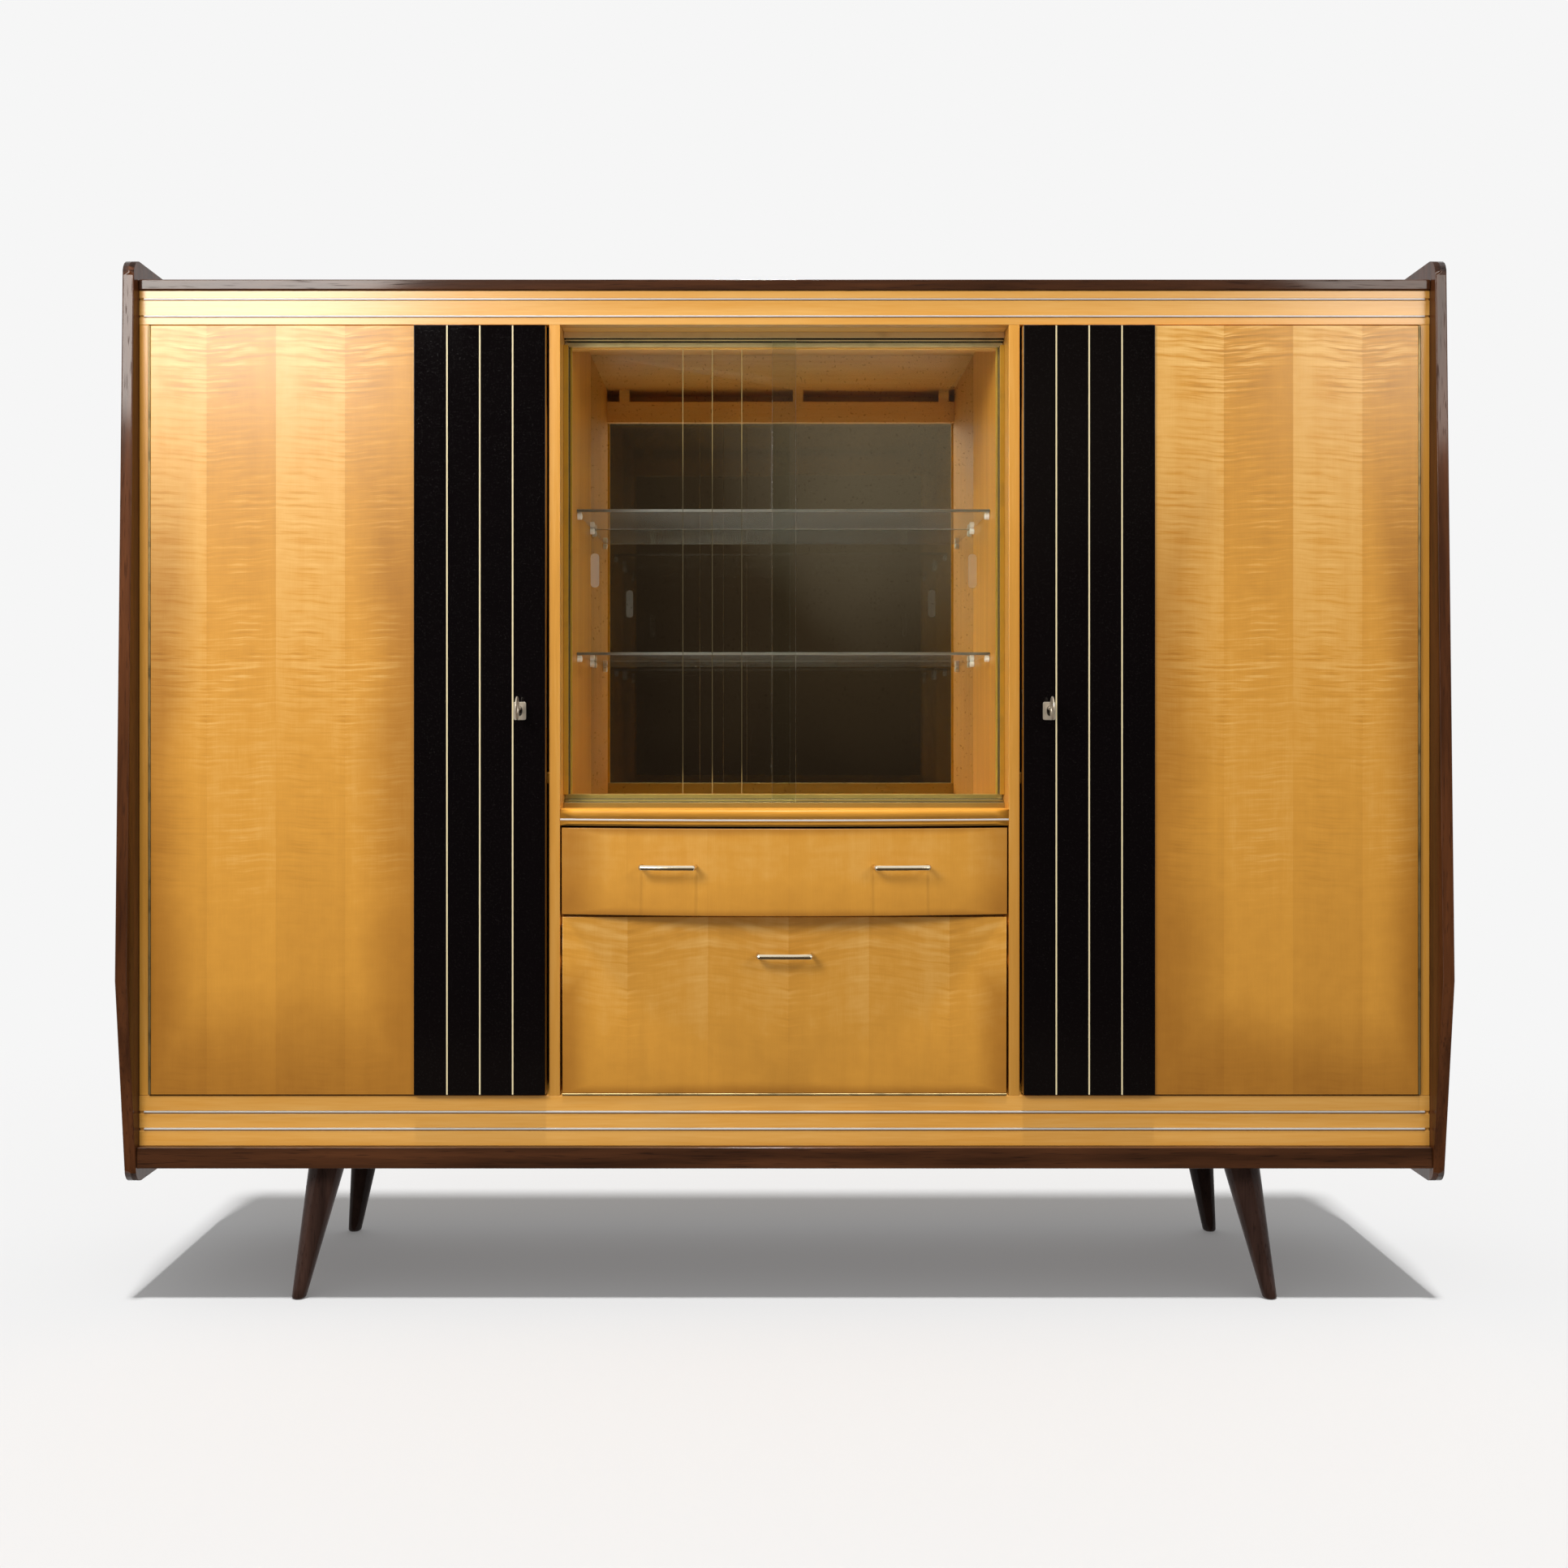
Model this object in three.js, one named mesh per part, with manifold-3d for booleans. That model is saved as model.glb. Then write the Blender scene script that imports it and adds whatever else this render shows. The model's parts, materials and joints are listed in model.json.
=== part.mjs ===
// Bar cabinet of the 1950s on four splayed legs: a walnut case with kinked side panels, two hinged
// doors with black glass, a centre bay with a glazed showcase, a bow-fronted drawer and a bar flap.
// Millimetres, +Z up, floor at Z = 0, front towards -Y, X = 0 in the middle of the cabinet.
import * as THREE from "three";
import { mergeVertices } from "three/addons/utils/BufferGeometryUtils.js";
import Module from "manifold-3d";

const wasm = await Module();
wasm.setup();

// Clearances
const seam = 0.3; // glue line between pieces that are fixed to each other
const overrun = 2; // how far a cutting tool runs past what it cuts
const stayBoreClearance = 0.3; // round the pin on which the stay turns

// Case
const caseWidth = 2200;
const caseDepth = 464; // foremost point of the side panels to their back edges
const legHeight = 225;
const sidePanelHeight = 1542.6;
const sidePanelThickness = 19;
const sidePanelOverhang = 25.6; // below the underside of the bottom board
const sidePanelKinkRise = 345; // from the lower end of a side panel to the kink in its front edge
const sidePanelTopSetback = 33; // of the front edge at its upper end, behind the kink
const sidePanelBottomSetback = 43;
const sidePanelTopRound = 30;
const sidePanelBottomRound = 26;
const sidePanelRoundSteps = 6;
const frameSetback = 54; // of fascias, stiles and partitions, behind the kink
const topBoardThickness = 18;
const topBoardDrop = 31.5; // top board below the upper ends of the side panels
const topBoardProud = 4; // in front of the frame
const bottomBoardThickness = 35;
const bottomBoardProud = 12;
const upperFasciaHeight = 56.7;
const lowerFasciaHeight = 83.8;
const fasciaThickness = 20;
const stileWidth = 16;
const carcassFloorThickness = 18;
const backPanelThickness = 4;
const backPanelRecess = 4; // in front of the back edges of the case

// Aluminium strips let into the fascias
const upperTrimHeight = 3.2;
const upperTrimDrops = [14.5, 43.1]; // centre lines below the top of the upper fascia
const lowerTrimHeight = 4.3;
const lowerTrimDrops = [27.9, 56.4];
const trimDepth = 3;
const trimProud = 0.5;
const trimEndGap = 8;

// Legs
const footRadius = 12;
const legTopRadius = 31;
const footSideInset = 282; // centre of a foot from the outer face of a side panel
const frontFootSetback = 70;
const rearFootSetback = 434;
const legSplay = 39; // of a foot, outside the upper end of its leg
const legSides = 24;

// Centre bay
const bayWidth = 752;
const partitionThickness = 18;

// Doors
const doorThickness = 20;
const doorProud = 6; // in front of the frame
const doorHingeGap = 5.5;
const doorLockGap = 5.2;
const doorEndClearance = 3; // above and below a door
const blackPanelWidth = 219.4;
const blackPanelThickness = 4.2;
const cupboardShelfHeight = 540; // top of a shelf above the carcass floor
const cupboardShelfThickness = 18;
const cupboardShelfSetback = 8; // behind the inner front of the case

// Piano hinges
const doorBarrelRadius = 2.4;
const doorLeafThickness = 1;
const doorLeafWidth = 13;
const flapHingeGap = 4.2;
const flapBarrelRadius = 1.9;
const flapLeafThickness = 0.8;
const flapLeafWidth = 11;
const knuckleLength = 32;
const barrelSides = 6;

// Door locks, set out from the key's axis
const keyAxisInset = 42.3; // from the inner edge of the door
const keyAxisHeight = 645.4; // above the lower end of the door
const lockPlateWidth = 21;
const lockPlateHeight = 30;
const lockPlateThickness = 1.5;
const lockPlateRound = 3;
const lockRoundSteps = 3;
const lockPlateDrop = 4.3; // centre of the plate below the key's axis
const lockNeckRadius = 9.7;
const lockCaseWidth = 56;
const lockCaseHeight = 64;
const lockCaseDepth = 11.4;
const lockPocketRadius = 10;
const lockPocketWall = 1.7;
const lockPocketClearance = 0.4;
const keyShaftRadius = 2.6;
const keyBoreClearance = 0.5;
const keyShaftReach = 25; // behind the face of the lock plate
const keyBitLength = 8.5;
const keyBitWidth = 2;
const keyBitDepth = 6;
const keyBitSetback = 1.5; // of the bit, in front of the end of the shaft
const keyBowWidth = 36;
const keyBowHeight = 39;
const keyBowThickness = 2.6;
const keyBowHoleWidth = 15;
const keyBowHoleHeight = 18;
const keyBowStandoff = 9; // bow in front of the lock plate
const keySides = 16;
const boltHeight = 13;
const boltThickness = 8;
const boltLength = 34;
const boltRise = 17.5; // centre of the bolt above the key's axis
const boltClearance = 0.5;
const strikeDepth = 10;

// Showcase
const vitrineFloorRise = 480; // top of the showcase floor above the carcass floor
const vitrineFloorThickness = 27.5;
const bowDepth = 34; // of the bowed fronts, at the middle
const bowHalfWidth = 373;
const bowSteps = 24;
const lipRound = 6;
const lipRoundSteps = 3;
const lipTrimHeight = 4;
const lipTrimDrop = 16; // top of the strip below the showcase floor
const lipTrimProud = 0.8;
const liningThickness = 8;
const vitrineCeilingThickness = 12;
const soffitThickness = 19.5;
const trackSetback = 47; // of the glass tracks behind the frame
const trackBase = 1.5;
const trackFinDepths = [3.5, 4, 4.5]; // front, middle and rear fin, along the depth
const trackGroove = 6;
const lowerFinHeights = [8.7, 13.3, 22.1];
const upperFinHeights = [9.7, 12.6, 21.3];
const channelFinHeights = [7.7, 7.7, 12.2];
const battenDepth = 16;
const battenDrop = 24.5; // below the underside of the soffit
const battenBlockWidth = 22;
const battenBlockDepth = 24;
const battenBlockShares = [-0.9, 0.1, 0.94]; // places along the half width of the showcase
const mirrorThickness = 5;
const glassShelfThickness = 5;
const glassShelfRises = [266, 520]; // undersides of the glass shelves above the showcase floor
const glassShelfDepth = 233;
const glassShelfBackGap = 4; // in front of the mirror
const glassShelfEndGap = 1.2;
const shelfPinLength = 8.6;
const shelfPinHeight = 12;
const shelfPinDepth = 10;
const shelfPinInset = 9; // of the front and rear pins, from the edges of a shelf

// Sliding panes
const paneThickness = 4;
const paneWidth = 392;
const paneTopClearance = 4.5;
const paneEdgeClearance = 4; // of a closed pane, to the partition
const pullWidth = 14.5;
const pullHeight = 58;
const pullDepth = 1.5;
const pullInset = 49; // centre of the ground finger pull from the outer edge of a pane
const pullRise = 403; // above the lower edge of a pane
const pullSteps = 8;

// Drawer
const drawerFrontThickness = 20;
const drawerFrontHeight = 144.7;
const drawerFrontTopGap = 3.8;
const drawerSideClearance = 9;
const drawerWall = 12;
const drawerBottom = 6;
const drawerBoxHeight = 134;
const drawerBoxBackGap = 25;
const drawerRunClearance = 0.5;
const drawerShelfThickness = 18;
const drawerShelfDrop = 2.8; // below the lower edge of the drawer front

// Bar flap
const flapThickness = 20;
const flapEndClearance = 4;
const flapTopClearance = 1.8;
const flapOpenAngle = Math.PI / 2;

// Handles
const handleLength = 97;
const handleHeight = 8;
const handleThickness = 4.5;
const handleStandoff = 24; // clear space between a front and its bar
const handleArch = 2;
const handleBend = 7; // outer radius of its two corners
const drawerHandleOffset = 192;
const drawerHandleDrop = 63.2; // below the upper edge of the drawer front
const flapHandleDrop = 63.5;
const archSteps = 8;
const bendSteps = 6;

// Flap stay: a slotted bar that turns on the flap and slides on a pin in the left partition. Both
// pins stand at one distance from the flap's hinge line, so the bar turns half as far as the flap.
const stayPivotSetback = 30; // behind the hinge line
const stayPivotRise = 150;
const stayPinSetback = 80;
const stayThickness = 2;
const stayWidth = 12;
const stayEnd = 7; // beyond a pin's centre
const stayPlaneInset = 8.7; // middle of the bar from the partition
const stayPinRadius = 2.5;
const stayPinTail = 1.5; // of a pin beyond the bar
const staySlotClearance = 0.5;
const stayBracketWidth = 14;
const stayBracketHeight = 16;
const stayPinSides = 12;

// Main planes of the case
const sidePanelBottom = legHeight - sidePanelOverhang;
const sidePanelTop = sidePanelBottom + sidePanelHeight;
const caseHalf = caseWidth / 2;
const innerHalf = caseHalf - sidePanelThickness - seam;
const topBoardTop = sidePanelTop - topBoardDrop;
const topBoardBottom = topBoardTop - topBoardThickness;
const bottomBoardTop = legHeight + bottomBoardThickness;
const lowerFasciaBottom = bottomBoardTop + seam;
const lowerFasciaTop = lowerFasciaBottom + lowerFasciaHeight;
const upperFasciaTop = topBoardBottom - seam;
const upperFasciaBottom = upperFasciaTop - upperFasciaHeight;
const fasciaBack = frameSetback + fasciaThickness;
const innerFront = fasciaBack + seam;
const backPanelFront = caseDepth - backPanelRecess - backPanelThickness;
const innerBack = backPanelFront - seam;
const stileInner = innerHalf - stileWidth;
const bayHalf = bayWidth / 2;
const partitionOuter = bayHalf + partitionThickness;
const bayInner = bayHalf - seam;

// Door planes, for the door on the +X side
const doorFront = frameSetback - doorProud;
const doorBack = doorFront + doorThickness;
const doorOuter = stileInner - doorHingeGap;
const doorInner = partitionOuter + doorLockGap;
const doorBottom = lowerFasciaTop + doorEndClearance;
const doorTop = upperFasciaBottom - doorEndClearance;
const blackPanelFront = doorFront - seam - blackPanelThickness;
const doorAxisX = doorOuter + doorHingeGap / 2;
const doorAxisY = doorFront + doorBarrelRadius;
const keyX = doorInner + keyAxisInset;
const keyZ = doorBottom + keyAxisHeight;
const lockPlateBack = blackPanelFront - seam;
const lockPlateFront = lockPlateBack - lockPlateThickness;
const lockCaseBack = doorBack - seam;
const lockCaseFront = lockCaseBack - lockCaseDepth;
const lockCaseEdge = doorInner + seam;
const lockCaseBottom = keyZ - lockCaseHeight / 2;
const boltBottom = keyZ + boltRise - boltHeight / 2;
const boltFront = lockCaseFront + lockPocketWall;
const keyShaftEnd = lockPlateFront + keyShaftReach;
const keyBowBack = lockPlateFront - keyBowStandoff;

// Showcase planes
const vitrineFloorTop = lowerFasciaTop + vitrineFloorRise;
const vitrineFloorBottom = vitrineFloorTop - vitrineFloorThickness;
const vitrineCeilingTop = topBoardBottom - seam;
const vitrineCeilingBottom = vitrineCeilingTop - vitrineCeilingThickness;
const mirrorFront = innerBack - mirrorThickness;
const trackFront = frameSetback + trackSetback;
const trackDepth = trackFinDepths.reduce((sum, depth) => sum + depth, 2 * trackGroove);
const battenFront = trackFront + trackDepth + seam;
const battenBack = battenFront + battenDepth;
const battenBottom = upperFasciaBottom - battenDrop;
const soffitTop = upperFasciaBottom + soffitThickness;
const liningInner = bayInner - liningThickness;
const lowerTrackBottom = vitrineFloorTop + seam;
const upperTrackTop = upperFasciaBottom - seam;
const paneBottom = lowerTrackBottom + trackBase + seam;
const paneTop = upperTrackTop - trackBase - paneTopClearance;
const bowRadius = (bowHalfWidth ** 2 + bowDepth ** 2) / (2 * bowDepth);
const bowFront = frameSetback - bowDepth;

// Drawer and flap planes
const drawerFrontTop = vitrineFloorBottom - drawerFrontTopGap;
const drawerFrontBottom = drawerFrontTop - drawerFrontHeight;
const drawerShelfTop = drawerFrontBottom - drawerShelfDrop;
const drawerHalf = bayHalf - drawerSideClearance;
const drawerBoxBack = innerBack - drawerBoxBackGap;
const drawerBoxBottom = drawerShelfTop + drawerRunClearance;
const flapFront = frameSetback;
const flapBack = flapFront + flapThickness;
const flapHalf = bayHalf - flapEndClearance;
const flapBottom = lowerFasciaTop + flapHingeGap;
const flapTop = drawerShelfTop - flapTopClearance;
const flapAxisZ = lowerFasciaTop + flapHingeGap / 2;
const stayPinRise = Math.sqrt(stayPivotRise ** 2 + stayPivotSetback ** 2 - stayPinSetback ** 2);
const stayX = -bayHalf + stayPlaneInset;

const walnut = new THREE.MeshStandardMaterial({ color: 0x4a2a1c, roughness: 0.35, metalness: 0 });
const legWood = new THREE.MeshStandardMaterial({ color: 0x33201a, roughness: 0.4, metalness: 0 });
const maple = new THREE.MeshStandardMaterial({ color: 0xd9a050, roughness: 0.3, metalness: 0 });
const blackGlass = new THREE.MeshStandardMaterial({ color: 0x060506, roughness: 0.06, metalness: 0 });
const aluminium = new THREE.MeshStandardMaterial({ color: 0xd8d2c4, roughness: 0.3, metalness: 1 });
const brass = new THREE.MeshStandardMaterial({ color: 0xc9a24a, roughness: 0.3, metalness: 1 });
const nickel = new THREE.MeshStandardMaterial({ color: 0xc9c4ba, roughness: 0.2, metalness: 1 });
const steel = new THREE.MeshStandardMaterial({ color: 0x9a9a98, roughness: 0.35, metalness: 1 });
const mirrorGlass = new THREE.MeshStandardMaterial({ color: 0xbfc2bd, roughness: 0.03, metalness: 1 });
const plywood = new THREE.MeshStandardMaterial({ color: 0xb98a58, roughness: 0.7, metalness: 0 });
const clearGlass = new THREE.MeshStandardMaterial({
  color: 0xdfe8e2,
  roughness: 0.03,
  metalness: 0,
  transparent: true,
  opacity: 0.3,
});

// A closed geometry as a solid for joining and cutting, and back again.
function solidOf(geometry) {
  const bare = geometry.clone();
  bare.deleteAttribute("normal");
  bare.deleteAttribute("uv");
  const merged = mergeVertices(bare);
  return new wasm.Manifold(
    new wasm.Mesh({
      numProp: 3,
      vertProperties: merged.attributes.position.array,
      triVerts: new Uint32Array(merged.index.array),
    }),
  );
}

function geometryOf(solid) {
  const mesh = solid.getMesh();
  const geometry = new THREE.BufferGeometry();
  geometry.setAttribute("position", new THREE.BufferAttribute(mesh.vertProperties, 3));
  geometry.setIndex(new THREE.BufferAttribute(mesh.triVerts, 1));
  geometry.computeVertexNormals();
  return geometry;
}

function join(first, ...others) {
  return geometryOf(others.reduce((sum, other) => sum.add(solidOf(other)), solidOf(first)));
}

function cut(body, ...tools) {
  return geometryOf(tools.reduce((rest, tool) => rest.subtract(solidOf(tool)), solidOf(body)));
}

function common(first, second) {
  return geometryOf(solidOf(first).intersect(solidOf(second)));
}

// A box between its lowest and highest corners.
function block(low, high) {
  const [width, depth, height] = high.map((value, i) => value - low[i]);
  const middle = low.map((value, i) => (value + high[i]) / 2);
  return new THREE.BoxGeometry(width, depth, height).translate(...middle);
}

function outlineShape(points) {
  return new THREE.Shape(points.map(([a, b]) => new THREE.Vector2(a, b)));
}

// Prisms: a shape in the plane of the two other axes, drawn out along one axis.
const alongX = new THREE.Matrix4().makeBasis(
  new THREE.Vector3(0, 1, 0),
  new THREE.Vector3(0, 0, 1),
  new THREE.Vector3(1, 0, 0),
);
const alongY = new THREE.Matrix4().makeBasis(
  new THREE.Vector3(1, 0, 0),
  new THREE.Vector3(0, 0, 1),
  new THREE.Vector3(0, -1, 0),
);

function prism(shape, length, steps = 1) {
  return new THREE.ExtrudeGeometry(shape, { depth: length, bevelEnabled: false, curveSegments: steps });
}

function prismX(shape, from, to, steps) {
  return prism(shape, to - from, steps).applyMatrix4(alongX).translate(from, 0, 0);
}

function prismY(shape, from, to, steps) {
  return prism(shape, to - from, steps).applyMatrix4(alongY).translate(0, to, 0);
}

function prismZ(shape, from, to, steps) {
  return prism(shape, to - from, steps).translate(0, 0, from);
}

function rodX(radius, from, to, y, z, sides) {
  return new THREE.CylinderGeometry(radius, radius, to - from, sides)
    .rotateZ(Math.PI / 2)
    .translate((from + to) / 2, y, z);
}

function rodY(radius, from, to, x, z, sides) {
  return new THREE.CylinderGeometry(radius, radius, to - from, sides).translate(x, (from + to) / 2, z);
}

function addPiece(group, name, geometry, material) {
  const mesh = new THREE.Mesh(geometry, material);
  mesh.name = name;
  group.add(mesh);
  return mesh;
}

// A plain board, placed by its middle.
function addBoard(group, name, low, high, material) {
  const size = high.map((value, i) => value - low[i]);
  const mesh = addPiece(group, name, new THREE.BoxGeometry(...size), material);
  mesh.position.set(...low.map((value, i) => (value + high[i]) / 2));
  return mesh;
}

// Case

function sidePanel() {
  const kinkZ = sidePanelBottom + sidePanelKinkRise;
  const top = [sidePanelTopSetback, sidePanelTop];
  const bottom = [sidePanelBottomSetback, sidePanelBottom];
  // A share of the way from the kink to an end of the front edge, one corner radius short of it.
  const shortOf = ([y, z], round) => {
    const edge = Math.hypot(y, z - kinkZ);
    const share = (edge - round) / edge;
    return [y * share, kinkZ + (z - kinkZ) * share];
  };
  const shape = new THREE.Shape();
  shape.moveTo(caseDepth, sidePanelBottom);
  shape.lineTo(caseDepth, sidePanelTop);
  shape.lineTo(top[0] + sidePanelTopRound, sidePanelTop);
  shape.quadraticCurveTo(...top, ...shortOf(top, sidePanelTopRound));
  shape.lineTo(0, kinkZ);
  shape.lineTo(...shortOf(bottom, sidePanelBottomRound));
  shape.quadraticCurveTo(...bottom, bottom[0] + sidePanelBottomRound, sidePanelBottom);
  shape.closePath();
  return prismX(shape, caseHalf - sidePanelThickness, caseHalf, sidePanelRoundSteps);
}

function fascia(bottom, height, trimDrops, trimHeight) {
  const board = block(
    [-innerHalf, frameSetback, bottom],
    [innerHalf, fasciaBack, bottom + height],
  );
  const grooves = trimDrops.map((drop) => {
    const middle = bottom + height - drop;
    const half = trimHeight / 2 + seam;
    return block(
      [-innerHalf - overrun, frameSetback - overrun, middle - half],
      [innerHalf + overrun, frameSetback + trimDepth, middle + half],
    );
  });
  return cut(board, ...grooves);
}

function addFascia(group, name, bottom, height, trimDrops, trimHeight) {
  addPiece(group, `${name}_fascia`, fascia(bottom, height, trimDrops, trimHeight), maple);
  trimDrops.forEach((drop, i) => {
    const middle = bottom + height - drop;
    const half = innerHalf - trimEndGap;
    addBoard(
      group,
      `${name}_fascia_${i === 0 ? "high" : "low"}_trim`,
      [-half, frameSetback - trimProud, middle - trimHeight / 2],
      [half, frameSetback + trimDepth - seam, middle + trimHeight / 2],
      aluminium,
    );
  });
}

// A leg with level sections: the shear carries its upper end inwards from the foot.
function leg() {
  const height = legHeight - seam;
  const lean = legSplay / legHeight;
  const shear = new THREE.Matrix4().makeBasis(
    new THREE.Vector3(1, 0, 0),
    new THREE.Vector3(0, 1, 0),
    new THREE.Vector3(-lean, lean, 1),
  );
  return new THREE.CylinderGeometry(legTopRadius, footRadius, height, legSides)
    .rotateX(Math.PI / 2)
    .translate(0, 0, height / 2)
    .applyMatrix4(shear);
}

function addLegs(group, sideName) {
  const footX = caseHalf - footSideInset;
  const front = addPiece(group, `front_${sideName}_leg`, leg(), legWood);
  front.position.set(footX, frontFootSetback, 0);
  const rear = addPiece(group, `rear_${sideName}_leg`, leg(), legWood);
  rear.position.set(footX, rearFootSetback, 0);
  rear.scale.y = -1;
}

// The partition stands on the carcass floor; its upper front corner passes behind the upper fascia.
function partition(hasStayPin) {
  const board = prismX(
    outlineShape([
      [frameSetback, lowerFasciaTop + seam],
      [innerBack, lowerFasciaTop + seam],
      [innerBack, upperFasciaTop],
      [innerFront, upperFasciaTop],
      [innerFront, upperFasciaBottom - seam],
      [frameSetback, upperFasciaBottom - seam],
    ]),
    bayHalf,
    partitionOuter,
  );
  const strike = block(
    [partitionOuter - strikeDepth, boltFront - boltClearance, boltBottom - boltClearance],
    [
      partitionOuter + overrun,
      boltFront + boltThickness + boltClearance,
      boltBottom + boltHeight + boltClearance,
    ],
  );
  const bored = cut(board, strike);
  if (!hasStayPin) return bored;
  const pin = rodX(
    stayPinRadius,
    bayHalf - stayPlaneInset - stayThickness / 2 - stayPinTail,
    bayHalf + partitionThickness / 2,
    flapFront + stayPinSetback,
    flapAxisZ + stayPinRise,
    stayPinSides,
  );
  return join(bored, pin);
}

// Piano hinges: the hinge line is the local Z axis, local Y runs into the cabinet. A leaf lies on
// the side of the line that its sign says and carries every other knuckle.
function hingeLeaf(size, length, side, firstKnuckle) {
  const face = size.gap / 2 - seam;
  const near = Math.min(side * face, side * (face - size.leaf));
  const far = Math.max(side * face, side * (face - size.leaf));
  const plateFront = size.radius + seam;
  const pieces = [block([near, plateFront, 0], [far, size.width, length])];
  const count = Math.round(length / knuckleLength);
  const pitch = length / count;
  for (let i = firstKnuckle; i < count; i += 2) {
    const low = i * pitch + seam / 2;
    const high = (i + 1) * pitch - seam / 2;
    const barrel = new THREE.CylinderGeometry(size.radius, size.radius, high - low, barrelSides)
      .rotateX(Math.PI / 2)
      .translate(0, 0, (low + high) / 2);
    pieces.push(barrel, block([near, 0, low], [far, plateFront + size.leaf, high]));
  }
  return join(...pieces);
}

const doorHinge = {
  gap: doorHingeGap,
  radius: doorBarrelRadius,
  leaf: doorLeafThickness,
  width: doorLeafWidth,
};
const flapHinge = {
  gap: flapHingeGap,
  radius: flapBarrelRadius,
  leaf: flapLeafThickness,
  width: flapLeafWidth,
};

function addDoorHingeLeaf(group, name, side, firstKnuckle) {
  const leaf = addPiece(group, name, hingeLeaf(doorHinge, doorTop - doorBottom, side, firstKnuckle), brass);
  leaf.position.set(doorAxisX, doorAxisY, doorBottom);
}

// Doors, modelled on the +X side

// Everything that the key and the neck of the lock pass through is bored about the key's axis.
function neckBore(from, to) {
  return rodY(lockNeckRadius + seam, from - overrun, to + overrun, keyX, keyZ, keySides);
}

function doorPanel() {
  const board = block([doorInner, doorFront, doorBottom], [doorOuter, doorBack, doorTop]);
  const pocket = block(
    [doorInner - overrun, lockCaseFront - seam, lockCaseBottom - seam],
    [lockCaseEdge + lockCaseWidth + seam, doorBack + overrun, lockCaseBottom + lockCaseHeight + seam],
  );
  return cut(board, pocket, neckBore(doorFront, lockCaseFront));
}

function blackPanel() {
  const plate = block(
    [doorInner, blackPanelFront, doorBottom],
    [doorInner + blackPanelWidth, doorFront - seam, doorTop],
  );
  return cut(plate, neckBore(blackPanelFront, doorFront));
}

function roundedRectangle(left, bottom, width, height, round) {
  const right = left + width;
  const top = bottom + height;
  const shape = new THREE.Shape();
  shape.moveTo(left + round, bottom);
  shape.lineTo(right - round, bottom);
  shape.quadraticCurveTo(right, bottom, right, bottom + round);
  shape.lineTo(right, top - round);
  shape.quadraticCurveTo(right, top, right - round, top);
  shape.lineTo(left + round, top);
  shape.quadraticCurveTo(left, top, left, top - round);
  shape.lineTo(left, bottom + round);
  shape.quadraticCurveTo(left, bottom, left + round, bottom);
  return shape;
}

// Lock: plate in front of the glass, neck through glass and door, case let in from behind.
function doorLock() {
  const plate = prismY(
    roundedRectangle(
      keyX - lockPlateWidth / 2,
      keyZ - lockPlateDrop - lockPlateHeight / 2,
      lockPlateWidth,
      lockPlateHeight,
      lockPlateRound,
    ),
    lockPlateFront,
    lockPlateBack,
    lockRoundSteps,
  );
  const neck = rodY(lockNeckRadius, lockPlateBack - seam, lockCaseFront + seam, keyX, keyZ, keySides);
  const box = block(
    [lockCaseEdge, lockCaseFront, lockCaseBottom],
    [lockCaseEdge + lockCaseWidth, lockCaseBack, lockCaseBottom + lockCaseHeight],
  );
  const bore = rodY(
    keyShaftRadius + keyBoreClearance,
    lockPlateFront - overrun,
    lockCaseBack + overrun,
    keyX,
    keyZ,
    keySides,
  );
  const slotHalf = keyBitWidth / 2 + keyBoreClearance;
  const slot = block(
    [keyX - slotHalf, lockPlateFront - overrun, keyZ - keyBitLength - keyBoreClearance],
    [keyX + slotHalf, lockCaseFront + lockPocketWall + seam, keyZ],
  );
  const pocket = rodY(
    lockPocketRadius,
    lockCaseFront + lockPocketWall,
    lockCaseBack + overrun,
    keyX,
    keyZ,
    keySides,
  );
  const channel = block(
    [lockCaseEdge - overrun, boltFront - lockPocketClearance, boltBottom - boltClearance],
    [
      lockCaseEdge + seam + boltLength + lockPocketClearance,
      boltFront + boltThickness + lockPocketClearance,
      boltBottom + boltHeight + boltClearance,
    ],
  );
  return cut(join(plate, neck, box), bore, slot, pocket, channel);
}

// Key, with its bow edge-on to the front and its bit down, about its own axis.
function doorKey() {
  const bowMiddle = keyBowBack - keyBowWidth / 2;
  const bow = new THREE.Shape();
  bow.absellipse(bowMiddle, 0, keyBowWidth / 2, keyBowHeight / 2, 0, 2 * Math.PI, false);
  const hole = new THREE.Path();
  hole.absellipse(bowMiddle, 0, keyBowHoleWidth / 2, keyBowHoleHeight / 2, 0, 2 * Math.PI, false);
  bow.holes.push(hole);
  const half = keyBowThickness / 2;
  const shaftStart = keyBowBack - (keyBowWidth - keyBowHoleWidth) / 4;
  const shaft = rodY(keyShaftRadius, shaftStart, keyShaftEnd, 0, 0, keySides);
  const bitBack = keyShaftEnd - keyBitSetback;
  const bit = block(
    [-keyBitWidth / 2, bitBack - keyBitDepth, -keyBitLength],
    [keyBitWidth / 2, bitBack, 0],
  );
  return join(prismX(bow, -half, half, keySides), shaft, bit);
}

function addDoor(group, sideName) {
  addPiece(group, `${sideName}_door`, doorPanel(), maple);
  addPiece(group, `${sideName}_door_black_panel`, blackPanel(), blackGlass);
  addPiece(group, `${sideName}_door_lock`, doorLock(), nickel);
  addDoorHingeLeaf(group, `${sideName}_door_hinge_leaf`, -1, 1);
  const key = addPiece(group, `${sideName}_door_key`, doorKey(), nickel);
  key.position.set(keyX, 0, keyZ);
  addBoard(
    group,
    `${sideName}_door_bolt`,
    [lockCaseEdge + seam, boltFront, boltBottom],
    [lockCaseEdge + seam + boltLength, boltFront + boltThickness, boltBottom + boltHeight],
    steel,
  );
}

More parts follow.
